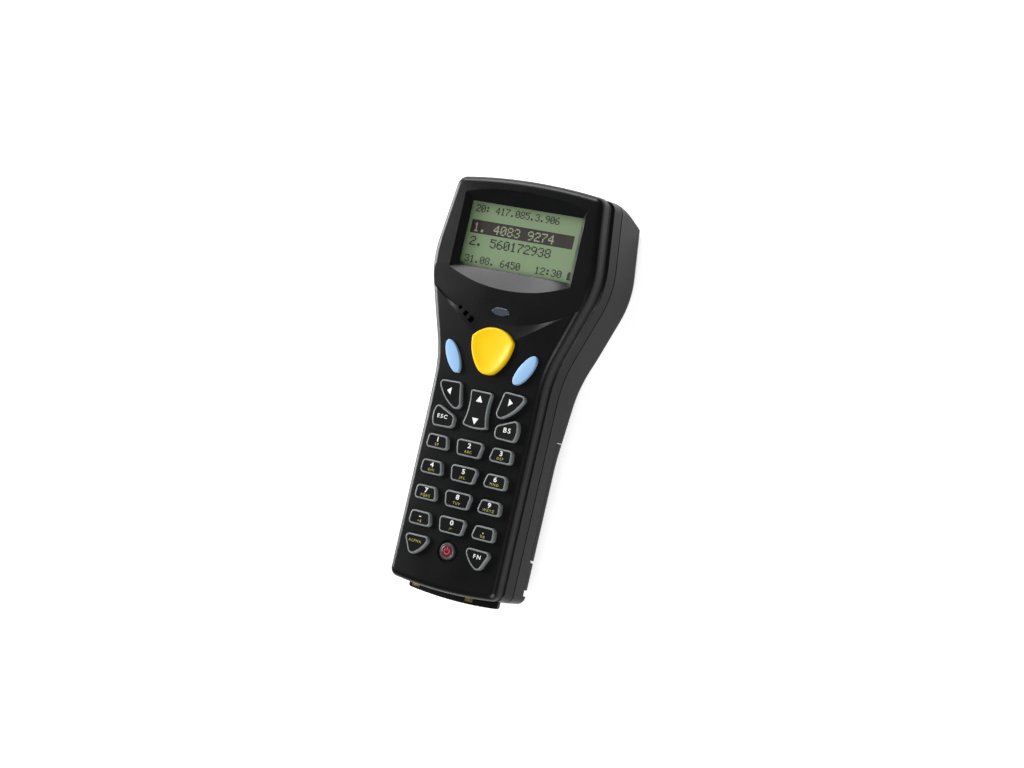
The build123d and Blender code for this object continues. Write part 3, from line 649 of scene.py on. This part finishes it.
@dataclass(frozen=True)
class Lettering:
    """A style of raised lettering; lengths are in millimetres."""

    size: float
    bold: float
    spacing: float = 1.0
    widen: float = 1.0
    height: float = PRINT_HEIGHT

    def mesh(self, words: str) -> bpy.types.Mesh:
        """Make words as a mesh, centred on the origin.

        Args:
            words: What it says.

        Returns:
            The mesh.
        """
        curve = bpy.data.curves.new("lettering", "FONT")
        curve.body = words
        curve.size = mm(self.size)
        curve.offset = mm(self.bold)
        curve.space_character = self.spacing
        curve.extrude = mm(self.height) / 2
        curve.align_x = "CENTER"
        curve.align_y = "CENTER"
        curve.resolution_u = 4
        holder = bpy.data.objects.new("lettering", curve)
        bpy.context.scene.collection.objects.link(holder)
        bpy.context.view_layer.update()
        graph = bpy.context.evaluated_depsgraph_get()
        made = bpy.data.meshes.new_from_object(holder.evaluated_get(graph))
        bpy.data.objects.remove(holder)
        return made

    def shape(self, words: str, place: Vector) -> bmesh.types.BMesh:
        """Make words at a place.

        Args:
            words: What it says.
            place: Centre of the words in metres.

        Returns:
            The words as a bmesh.
        """
        mesh = self.mesh(words)
        mesh.transform(Matrix.Translation(place) @ Matrix.Diagonal((self.widen, 1.0, 1.0, 1.0)))
        made = bmesh.new()
        made.from_mesh(mesh)
        bpy.data.meshes.remove(mesh)
        return made


def add_block(shape: bmesh.types.BMesh, low: Vector, high: Vector) -> list[bmesh.types.BMVert]:
    """Add a block.

    Args:
        shape: Where it goes.
        low: Its lowest corner.
        high: Its highest corner.

    Returns:
        Its vertices.
    """
    middle, size = (low + high) / 2, high - low
    place = Matrix.Translation(middle) @ Matrix.Diagonal((*size, 1.0))
    made = bmesh.ops.create_cube(shape, size=1.0, matrix=place)
    return made["verts"]


def soften(shape: bmesh.types.BMesh, edges: Iterable[bmesh.types.BMEdge], width: float,
           segments: int = 3) -> None:
    """Bevel edges.

    Args:
        shape: The shape.
        edges: Edges to bevel.
        width: Width of the bevel in millimetres.
        segments: Number of steps.
    """
    bmesh.ops.bevel(shape, geom=list(edges), offset=mm(width), offset_type="OFFSET", affect="EDGES",
                    segments=segments, profile=0.5, material=-1)


# ---------------------------------------------------------------- keys
@dataclass(frozen=True)
class Word:
    """A word printed on a key, offset from the key's centre in millimetres."""

    text: str
    ink: Finish
    style: Lettering
    across: float
    along: float


@dataclass
class Keypad:
    """The lacquered keys with their printed legends."""

    rim: float = 0.24
    groove: float = 0.02
    groove_width: float = 0.03
    print_lift: float = 0.017
    digit_style: Lettering = Lettering(2.7, 0.05, widen=1.18)
    letter_style: Lettering = Lettering(1.5, 0.0, spacing=1.35, widen=1.0)
    middle_rows: tuple[float, float] = (1.05, -1.35)
    outer_rows: tuple[float, float] = (0.85, -1.15)
    middle_column: float = 1.0
    arrow_radius: float = 1.7
    arrow_squeeze: float = 0.75
    digits: dict[str, tuple[str, str]] = field(default_factory=lambda: {
        "key_1": ("1", "SP"), "key_2": ("2", "ABC"), "key_3": ("3", "DEF"),
        "key_4": ("4", "GHI"), "key_5": ("5", "JKL"), "key_6": ("6", "MNO"),
        "key_7": ("7", "PQRS"), "key_8": ("8", "TUV"), "key_9": ("9", "WXYZ"),
        "key_minus": ("-", "+$"), "key_0": ("0", "/*"), "key_dot": (".", "%#")})
    words: dict[str, Word] = field(default_factory=lambda: {
        "key_esc": Word("ESC", Finish.WHITE_PRINT, Lettering(2.2, 0.03, 1.35, 1.1), -0.5, -0.1),
        "key_bs": Word("BS", Finish.WHITE_PRINT, Lettering(2.7, 0.04, 1.3, 1.1), 0.3, -0.1),
        "key_fn": Word("FN", Finish.WHITE_PRINT, Lettering(2.3, 0.03, 1.35, 1.1), 0.3, 1.1),
        "key_alpha": Word("ALPHA", Finish.OLIVE_PRINT, Lettering(1.6, 0.0, 1.3, 1.0), -0.5, 1.25)})
    arrows: dict[str, tuple[tuple[float, float, float], ...]] = field(default_factory=lambda: {
        "key_left": ((-0.5, 1.2, 90.0),), "key_right": ((-0.4, 1.5, -90.0),),
        "key_rocker": ((-0.2, 4.0, 0.0), (-0.2, -4.2, 180.0))})

    def centre(self, node: str) -> Vector:
        """Find where a key's print goes.

        Args:
            node: The key's CAD node.

        Returns:
            The middle of the key's top, just above its face.
        """
        low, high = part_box(node)
        level = high.z - mm(self.groove) + mm(self.print_lift)
        return Vector(((low.x + high.x) / 2, (low.y + high.y) / 2, level))

    def cap(self, node: str) -> None:
        """Build a key's cap with a grey rim round its lacquered top.

        Args:
            node: The key's CAD node.
        """
        shape = merged_copy(node)
        top = top_face(shape)
        bmesh.ops.inset_region(shape, faces=[top], thickness=mm(self.rim), depth=0.0, use_even_offset=True)
        bmesh.ops.inset_region(shape, faces=[top], thickness=mm(self.groove_width),
                               depth=-mm(self.groove), use_even_offset=True)
        top.material_index = 1
        top.tag = True
        made = add_piece(f"{node}_cap", shape, (Finish.KEY_SIDE, Finish.KEY_TOP), node)
        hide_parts(node)

    def print_on(self, node: str, label: str, shape: bmesh.types.BMesh, ink: Finish) -> None:
        """Print a shape on a key.

        Args:
            node: The key's CAD node.
            label: What the print is.
            shape: The print.
            ink: Its finish.
        """
        add_piece(f"{node}_{label}", shape, (ink,), node)

    def arrow(self, shape: bmesh.types.BMesh, place: Vector, turn: float) -> None:
        """Add a triangular arrow, squeezed in length where it points sideways.

        Args:
            shape: Where it goes.
            place: Its centre.
            turn: Direction of its tip in degrees from +Y.
        """
        length = self.arrow_squeeze if turn % 180.0 else 1.0
        matrix = (Matrix.Translation(place) @ Matrix.Rotation(math.radians(turn), 4, "Z")
                  @ Matrix.Diagonal((1.0, length, 1.0, 1.0)))
        bmesh.ops.create_cone(shape, cap_ends=True, segments=3, radius1=mm(self.arrow_radius),
                              radius2=mm(self.arrow_radius), depth=mm(PRINT_HEIGHT), matrix=matrix)

    def build(self) -> None:
        """Build every lacquered key."""
        for node, (digit, letters) in self.digits.items():
            self.cap(node)
            in_middle = abs(self.centre(node).x) < mm(self.middle_column)
            rows = self.middle_rows if in_middle else self.outer_rows
            for label, text, style, ink, along in (
                    ("digit", digit, self.digit_style, Finish.WHITE_PRINT, rows[0]),
                    ("letters", letters, self.letter_style, Finish.OLIVE_PRINT, rows[1])):
                self.print_on(node, label, style.shape(text, self.centre(node) + point(0, along, 0)), ink)
        for node, word in self.words.items():
            self.cap(node)
            place = self.centre(node) + point(word.across, word.along, 0)
            self.print_on(node, "word", word.style.shape(word.text, place), word.ink)
        for node, places in self.arrows.items():
            self.cap(node)
            shape = bmesh.new()
            for across, along, turn in places:
                self.arrow(shape, self.centre(node) + point(across, along, 0), turn)
            self.print_on(node, "arrow", shape, Finish.WHITE_PRINT)


@dataclass
class ColouredKeys:
    """The trigger, the two side keys and the power key."""

    dish_steps: tuple[tuple[float, float], ...] = ((0.93, -0.10), (0.9, -0.17), (0.86, -0.20), (0.8, -0.16),
                                                   (0.7, -0.09), (0.5, -0.04))
    crown_steps: tuple[tuple[float, float], ...] = ((0.85, 0.05), (0.8, 0.05), (0.7, 0.03), (0.5, 0.02))
    ring_steps: tuple[tuple[float, float], ...] = (
        (0.15, 0.0), (0.3, -0.14), (0.12, 0.0), (0.1, 0.08), (0.12, 0.04))
    mark_radius: float = 1.15
    mark_width: float = 0.36
    mark_gap: float = 75.0
    mark_steps: int = 28
    mark_bar: tuple[float, float] = (0.35, 1.7)
    mark_lift: float = 0.01

    def stepped(self, node: str, steps: Sequence[tuple[float, float]], finish: Finish) -> None:
        """Shape a key's top in inset steps.

        Args:
            node: The key's CAD node.
            steps: How far each ring of the top shrinks, and its rise in millimetres.
            finish: Its finish.
        """
        shape = merged_copy(node)
        top = top_face(shape)
        for share, rise in steps:
            top = bmesh.ops.extrude_discrete_faces(shape, faces=[top])["faces"][0]
            centre = top.calc_center_median()
            bmesh.ops.scale(shape, vec=(share, share, 1.0), space=Matrix.Translation(-centre),
                            verts=top.verts)
            bmesh.ops.translate(shape, vec=(0, 0, mm(rise)), verts=top.verts)
        made = add_piece(f"{node}_cap", shape, (finish,), node, sharp_angle=50.0)
        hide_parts(node)

    def power_mark(self) -> None:
        """Print the power sign: an open ring with a bar in its gap."""
        low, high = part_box("power_key")
        centre = Vector(((low.x + high.x) / 2, (low.y + high.y) / 2, high.z + mm(self.mark_lift)))
        shape = bmesh.new()
        start = math.radians(90 + self.mark_gap / 2)
        corners = []
        for radius in (self.mark_radius - self.mark_width / 2, self.mark_radius + self.mark_width / 2):
            corners.append(shape.verts.new((mm(radius) * math.cos(start), mm(radius) * math.sin(start), 0.0)))
        edge = shape.edges.new(corners)
        bmesh.ops.spin(shape, geom=[edge, *corners], cent=(0, 0, 0), axis=(0, 0, 1),
                       angle=math.radians(360 - self.mark_gap), steps=self.mark_steps, use_merge=False)
        bmesh.ops.recalc_face_normals(shape, faces=shape.faces)
        raised = bmesh.ops.extrude_face_region(shape, geom=shape.faces[:])
        bmesh.ops.translate(shape, vec=(0, 0, mm(PRINT_HEIGHT)),
                            verts=[item for item in raised["geom"] if isinstance(item, bmesh.types.BMVert)])
        inner, outer = self.mark_bar
        add_block(shape, point(-self.mark_width / 2, inner, 0),
                  point(self.mark_width / 2, outer, PRINT_HEIGHT))
        bmesh.ops.recalc_face_normals(shape, faces=shape.faces)
        bmesh.ops.translate(shape, vec=centre, verts=shape.verts)
        add_piece("power_mark", shape, (Finish.POWER_MARK,), "power_key")

    def power_cap(self) -> None:
        """Build the power key: a dark dished ring round a red button."""
        shape = merged_copy("power_key")
        top = top_face(shape)
        for width, rise in self.ring_steps:
            bmesh.ops.inset_region(shape, faces=[top], thickness=mm(width), depth=mm(rise),
                                   use_even_offset=True)
        button = {top, *(face for edge in top.edges for face in edge.link_faces)}
        for face in button:
            face.material_index = 1
        made = add_piece("power_key_cap", shape, (Finish.POWER_RIM, Finish.POWER), "power_key")
        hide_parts("power_key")

    def build(self) -> None:
        """Build the coloured keys."""
        self.stepped("trigger_key", self.dish_steps, Finish.TRIGGER)
        for node in ("side_key_left", "side_key_right"):
            self.stepped(node, self.crown_steps, Finish.SIDE_KEY)
        self.power_cap()
        self.power_mark()


# ---------------------------------------------------------------- display
SIGN_PITCH = 6              # dots from one sign to the next, each sign being five dots wide

GLYPHS = {
    "0": ("01110", "10001", "10011", "10101", "11001", "10001", "01110"),
    "1": ("00100", "01100", "00100", "00100", "00100", "00100", "01110"),
    "2": ("01110", "10001", "00001", "00110", "01000", "10000", "11111"),
    "3": ("01110", "10001", "00001", "00110", "00001", "10001", "01110"),
    "4": ("00010", "00110", "01010", "10010", "11111", "00010", "00010"),
    "5": ("11111", "10000", "11110", "00001", "00001", "10001", "01110"),
    "6": ("00110", "01000", "10000", "11110", "10001", "10001", "01110"),
    "7": ("11111", "00001", "00010", "00100", "01000", "01000", "01000"),
    "8": ("01110", "10001", "10001", "01110", "10001", "10001", "01110"),
    "9": ("01110", "10001", "10001", "01111", "00001", "00010", "01100"),
    ":": ("00000", "01100", "01100", "00000", "01100", "01100", "00000"),
    ".": ("00000", "00000", "00000", "00000", "00000", "01100", "01100"),
    " ": ("00000",) * 7,
}


@dataclass
class DisplayRow:
    """One row of plain numbers on the display."""

    name: str
    text: str
    left: float
    top: float
    dot_width: float
    dot_height: float
    ink: Finish
    bold: float = 0.3

    def build(self, level: float) -> None:
        """Build the row as runs of dots.

        Args:
            level: Height of the display's face in metres.
        """
        shape = bmesh.new()
        for place, sign in enumerate(self.text):
            for line, bits in enumerate(GLYPHS[sign]):
                for start, end in runs_of_ones(bits):
                    x = self.left + (place * SIGN_PITCH + start) * self.dot_width
                    y = self.top - line * self.dot_height
                    low = point(x, y - self.dot_height, 0)
                    high = point(x + (end - start + self.bold) * self.dot_width, y, PRINT_HEIGHT)
                    add_block(shape, low, high)
        bmesh.ops.translate(shape, vec=(0, 0, level), verts=shape.verts)
        add_piece(self.name, shape, (self.ink,), HOUSING)


def runs_of_ones(bits: str) -> list[tuple[int, int]]:
    """Find the runs of ones in a string.

    Args:
        bits: Ones and zeros.

    Returns:
        The first and the past-the-last place of each run.
    """
    runs, start = [], None
    for place, bit in enumerate(bits + "0"):
        if bit == "1" and start is None:
            start = place
        elif bit == "0" and start is not None:
            runs.append((start, place))
            start = None
    return runs


@dataclass
class Display:
    """The liquid crystal display under its window."""

    left: float = -25.5
    glass: float = 0.5
    bar_top: float = 66.1
    bar_bottom: float = 60.7
    bar_right: float = 22.8
    bar_inset: float = 0.6
    bar_height: float = 0.02
    pale_lift: float = 0.01
    charge_blocks: tuple[tuple[float, float, float, float], ...] = (
        (23.3, 48.6, 24.9, 51.4), (23.7, 51.4, 24.5, 51.9))

    def cell(self) -> float:
        """Build the display's cell with its image layer under the glass.

        Returns:
            Height of the image layer in metres.
        """
        shape = merged_copy("lcd_panel")
        top = top_face(shape)
        bmesh.ops.translate(shape, vec=(0, 0, -mm(self.glass)), verts=top.verts)
        level = top.calc_center_median().z
        made = add_piece("display_cell", shape, (Finish.DISPLAY,), HOUSING)
        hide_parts("lcd_panel")
        return level

    def build(self) -> None:
        """Build the display's content and dress its parts."""
        level = self.cell()
        shape = bmesh.new()
        add_block(shape, point(self.left + self.bar_inset, self.bar_bottom, 0),
                  point(self.bar_right, self.bar_top, self.bar_height))
        bmesh.ops.translate(shape, vec=(0, 0, level), verts=shape.verts)
        add_piece("display_bar", shape, (Finish.DISPLAY_BAR,), HOUSING)
        rows = [
            DisplayRow("display_row_1", "20: 417.085.3.906", self.left + 1.2, 72.3, 0.385, 0.42,
                       Finish.DISPLAY_INK),
            DisplayRow("display_row_2", "1. 4083 9274", self.left + 1.9, 65.1, 0.53, 0.53,
                       Finish.DISPLAY_PALE, 0.05),
            DisplayRow("display_row_3", "2. 560172938", self.left + 1.6, 59.4, 0.53, 0.53,
                       Finish.DISPLAY_INK),
            DisplayRow("display_row_4", "31.08. 6450", self.left + 1.0, 51.8, 0.40, 0.42, Finish.DISPLAY_INK),
            DisplayRow("display_clock", "12:30", 8.4, 51.8, 0.42, 0.42, Finish.DISPLAY_INK)]
        for row in rows:
            row.build(level + (mm(self.pale_lift) if row.ink is Finish.DISPLAY_PALE else 0.0))
        shape = bmesh.new()
        for left, bottom, right, top in self.charge_blocks:
            add_block(shape, point(left, bottom, 0), point(right, top, PRINT_HEIGHT))
        bmesh.ops.translate(shape, vec=(0, 0, level), verts=shape.verts)
        add_piece("display_charge_sign", shape, (Finish.DISPLAY_INK,), HOUSING)
        dress("display_lens", Finish.WINDOW)
        dress("backlight_tray", Finish.TRAY)


# ---------------------------------------------------------------- back and inside
@dataclass
class HousingDetails:
    """The shells, their screws, the latch's grip ribs and everything inside."""

    groove_from: float = 81.5
    groove_levels: tuple[float, float] = (25.95, 28.95)
    rib_count: int = 5
    rib_pitch: float = 1.3
    rib_half_length: float = 9.0
    rib_half_width: float = 0.3
    rib_height: float = 0.35
    rib_sunk: float = 0.2
    rib_round: float = 0.15
    cross_length: float = 1.15
    cross_width: float = 0.36
    cross_height: float = 0.02
    cross_sunk: float = 0.1
    cross_turn: float = 20.0

    def end_groove(self, shape: bmesh.types.BMesh) -> list[bmesh.types.BMFace]:
        """Find the groove across the display end.

        Args:
            shape: The front shell.

        Returns:
            The groove's faces there.
        """
        low, high = (mm(value) for value in self.groove_levels)
        return [face for face in shape.faces if face.normal.y > 0.3
                and all(v.co.y > mm(self.groove_from) and low < v.co.z < high for v in face.verts)]

    def front_skin(self) -> None:
        """Show the front shell by a copy whose groove is level across the display end."""
        shape = copy_with_normals("front_shell")
        run_level(self.end_groove(shape))
        even_normals(shape, self.end_groove(shape))
        made = add_piece("front_shell_skin", shape, (Finish.HOUSING,), HOUSING)
        use_kept_normals(made)
        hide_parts("front_shell")

    def latch_ribs(self) -> None:
        """Build the low ribs that a thumb pushes against."""
        low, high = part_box("battery_latch")
        shape = bmesh.new()
        middle = in_mm((low.y + high.y) / 2)
        face = in_mm(low.z)
        for place in range(self.rib_count):
            y = middle + (place - (self.rib_count - 1) / 2) * self.rib_pitch
            add_block(shape, point(-self.rib_half_length, y - self.rib_half_width, face - self.rib_height),
                      point(self.rib_half_length, y + self.rib_half_width, face + self.rib_sunk))
        outer = [edge for edge in shape.edges if max(v.co.z for v in edge.verts) < low.z]
        soften(shape, outer, self.rib_round)
        add_piece("latch_ribs", shape, (Finish.LATCH,), LATCH)

    def screw_crosses(self) -> None:
        """Mark the driver's cross on each screw head."""
        face = in_mm(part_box("housing_screws")[0].z)
        low = point(-self.cross_length, -self.cross_width / 2, face - self.cross_height)
        high = point(self.cross_length, self.cross_width / 2, face + self.cross_sunk)
        for place, (x, y) in enumerate(self.screw_places()):
            shape = bmesh.new()
            for turn in (0.0, 90.0):
                bmesh.ops.rotate(shape, verts=add_block(shape, low, high), cent=(0, 0, 0),
                                 matrix=Matrix.Rotation(math.radians(turn + self.cross_turn), 3, "Z"))
            bmesh.ops.translate(shape, vec=point(x, y, 0), verts=shape.verts)
            add_piece(f"screw_cross_{place + 1}", shape, (Finish.SEAL,), HOUSING)

    def screw_places(self) -> list[tuple[float, float]]:
        """Find the four screws from their own mesh.

        Returns:
            The middle of each, across and along, in millimetres.
        """
        low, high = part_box("housing_screws")
        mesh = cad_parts["housing_screws"].data
        places = []
        for side in (-1, 1):
            for end in (0, 1):
                near = [v.co for v in mesh.vertices if v.co.x * side > 0
                        and (v.co.y > (low.y + high.y) / 2) == bool(end)]
                xs, ys = [c.x for c in near], [c.y for c in near]
                places.append((in_mm((min(xs) + max(xs)) / 2), in_mm((min(ys) + max(ys)) / 2)))
        return places

    def build(self) -> None:
        """Dress the carried-over nodes and add the small details."""
        finishes = {
            "rear_shell": Finish.HOUSING, "battery_cover": Finish.HOUSING,
            "battery_latch": Finish.LATCH, "seam_gasket": Finish.SEAL, "dock_tongue": Finish.TONGUE,
            "dock_contacts": Finish.GOLD, "led_lens": Finish.LIGHT_GUIDE, "beeper": Finish.BEEPER,
            "keypad_mat": Finish.MAT, "main_board": Finish.BOARD, "radio_module": Finish.CAN,
            "backup_cell": Finish.CAN, "scan_engine": Finish.ENGINE, "scan_window": Finish.SCAN_FILTER,
            "scan_window_seal": Finish.SEAL, "battery_contacts": Finish.GOLD, "battery_pack": Finish.PACK,
            "battery_terminals": Finish.GOLD, "threaded_inserts": Finish.BRASS,
            "housing_screws": Finish.SCREW}
        for node, finish in finishes.items():
            dress(node, finish)
        self.front_skin()
        self.latch_ribs()
        self.screw_crosses()


# ---------------------------------------------------------------- studio
def ray_glow(tree: bpy.types.NodeTree, rays: Sequence[tuple[str, float]],
             base: float) -> bpy.types.NodeSocket:
    """Add up a glow that depends on the kind of ray.

    Args:
        tree: Node tree to build in.
        rays: Outputs of the Light Path node, and the glow that each adds.
        base: Glow for every ray.

    Returns:
        The total glow.
    """
    paths = tree.nodes.new("ShaderNodeLightPath")
    total = None
    for ray, glow in rays:
        added = tree.nodes.new("ShaderNodeMath")
        added.operation = "MULTIPLY_ADD"
        added.inputs[1].default_value = glow
        added.inputs[2].default_value = base
        tree.links.new(paths.outputs[ray], added.inputs[0])
        if total:
            tree.links.new(total, added.inputs[2])
        total = added.outputs[0]
    return total


@dataclass(frozen=True)
class Lamp:
    """An area light aimed at the terminal, with lengths in metres and power in watts."""

    name: str
    direction: tuple[float, float, float]
    distance: float
    size: tuple[float, float]
    power: float


@dataclass
class Studio:
    """Floor, lights and camera."""

    floor_size: float = 6.0
    floor_colour: tuple[float, float, float] = (0.80, 0.80, 0.80)
    seen_glow: float = 0.6
    mirrored_glow: float = 0.2
    seen_world: float = 0.85
    world_strength: float = 0.07
    lamps: tuple[Lamp, ...] = (
        Lamp("left_strip", (-0.92, 0.1, 0.36), 0.9, (0.4, 0.45), 9.0),
        Lamp("display_end", (-0.42, 0.77, 0.45), 0.9, (0.6, 0.5), 6.0),
        Lamp("overhead_right", (0.42, -0.62, 0.66), 1.6, (1.2, 1.2), 20.0))
    yaw: float = 30.0
    pitch: float = -1.531
    roll: float = 12.895
    offset: tuple[float, float, float] = (-11.635, -1.902, -899.692)
    key_level: float = 35.0
    focal: float = 80.31
    sensor: float = 36.0
    clip: tuple[float, float] = (0.01, 50.0)

    def clear(self) -> None:
        """Remove the objects of a new file."""
        for name in ("Cube", "Light", "Camera"):
            if name in bpy.data.objects:
                bpy.data.objects.remove(bpy.data.objects[name])

    def camera(self) -> None:
        """Place the camera by its turns and the key plane's place before it."""
        turn = (Matrix.Rotation(-math.radians(self.roll), 3, "Z")
                @ Matrix.Rotation(math.radians(self.pitch), 3, "X")
                @ Matrix.Rotation(-math.radians(self.yaw), 3, "Y"))
        place = -(turn.transposed() @ Vector(self.offset)) + Vector((0, 0, self.key_level))
        data = bpy.data.cameras.new("view")
        data.lens = self.focal
        data.sensor_width = self.sensor
        data.clip_start, data.clip_end = self.clip
        made = bpy.data.objects.new("view", data)
        made.matrix_world = Matrix.Translation(place * mm(1.0)) @ turn.transposed().to_4x4()
        bpy.context.scene.collection.objects.link(made)
        bpy.context.scene.camera = made

    def area_light(self, lamp: Lamp) -> None:
        """Add an area light.

        Args:
            lamp: What the light is like.
        """
        data = bpy.data.lights.new(lamp.name, "AREA")
        data.shape = "RECTANGLE"
        data.size, data.size_y = lamp.size
        data.energy = lamp.power
        made = bpy.data.objects.new(lamp.name, data)
        way = Vector(lamp.direction).normalized()
        aim = way.to_track_quat("Z", "Y").to_matrix().to_4x4()
        made.matrix_world = Matrix.Translation(way * lamp.distance) @ aim
        bpy.context.scene.collection.objects.link(made)

    def world(self) -> None:
        """Make an even, dim world that looks pale to the eye and through a window."""
        world = bpy.data.worlds.new("studio")
        world.use_nodes = True
        bpy.context.scene.world = world
        background = world.node_tree.nodes["Background"]
        background.inputs["Color"].default_value = (1.0, 1.0, 1.0, 1.0)
        rays = (("Is Camera Ray", self.seen_world), ("Is Transmission Ray", self.seen_world))
        glow = ray_glow(world.node_tree, rays, self.world_strength)
        world.node_tree.links.new(glow, background.inputs["Strength"])

    def floor(self) -> None:
        """Make the plain pale floor, white to the eye but keeping a soft shadow."""
        shape = bmesh.new()
        bmesh.ops.create_grid(shape, x_segments=1, y_segments=1, size=self.floor_size / 2)
        mesh = bpy.data.meshes.new("floor")
        shape.to_mesh(mesh)
        shape.free()
        made = bpy.data.objects.new("floor", mesh)
        bpy.context.scene.collection.objects.link(made)
        material = bpy.data.materials.new("floor_paint")
        material.use_nodes = True
        tree = material.node_tree
        shader = tree.nodes["Principled BSDF"]
        shader.inputs["Base Color"].default_value = (*self.floor_colour, 1.0)
        shader.inputs["Roughness"].default_value = 0.9
        shader.inputs["Specular IOR Level"].default_value = 0.1
        shader.inputs["Emission Color"].default_value = (1.0, 1.0, 1.0, 1.0)
        rays = (("Is Camera Ray", self.seen_glow), ("Is Glossy Ray", self.mirrored_glow),
                ("Is Transmission Ray", self.mirrored_glow))
        tree.links.new(ray_glow(tree, rays, 0.0), shader.inputs["Emission Strength"])
        mesh.materials.append(material)

    def build(self) -> None:
        """Build the studio."""
        bpy.context.scene.view_settings.view_transform = "Standard"
        self.world()
        self.floor()
        for lamp in self.lamps:
            self.area_light(lamp)
        self.camera()


def save_sizes() -> None:
    """Bring the view layer up to date.
    """
    bpy.context.view_layer.update()


def main() -> None:
    """Build the dressed terminal and its studio."""
    logging.basicConfig(level=logging.INFO, format="%(name)s: %(message)s")
    studio = Studio()
    studio.clear()
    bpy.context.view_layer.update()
    for part in (HousingDetails(), Keypad(), ColouredKeys(), Display(), studio):
        log.info("building %s", type(part).__name__)
        part.build()
    save_sizes()


if __name__ == "__main__":
    main()
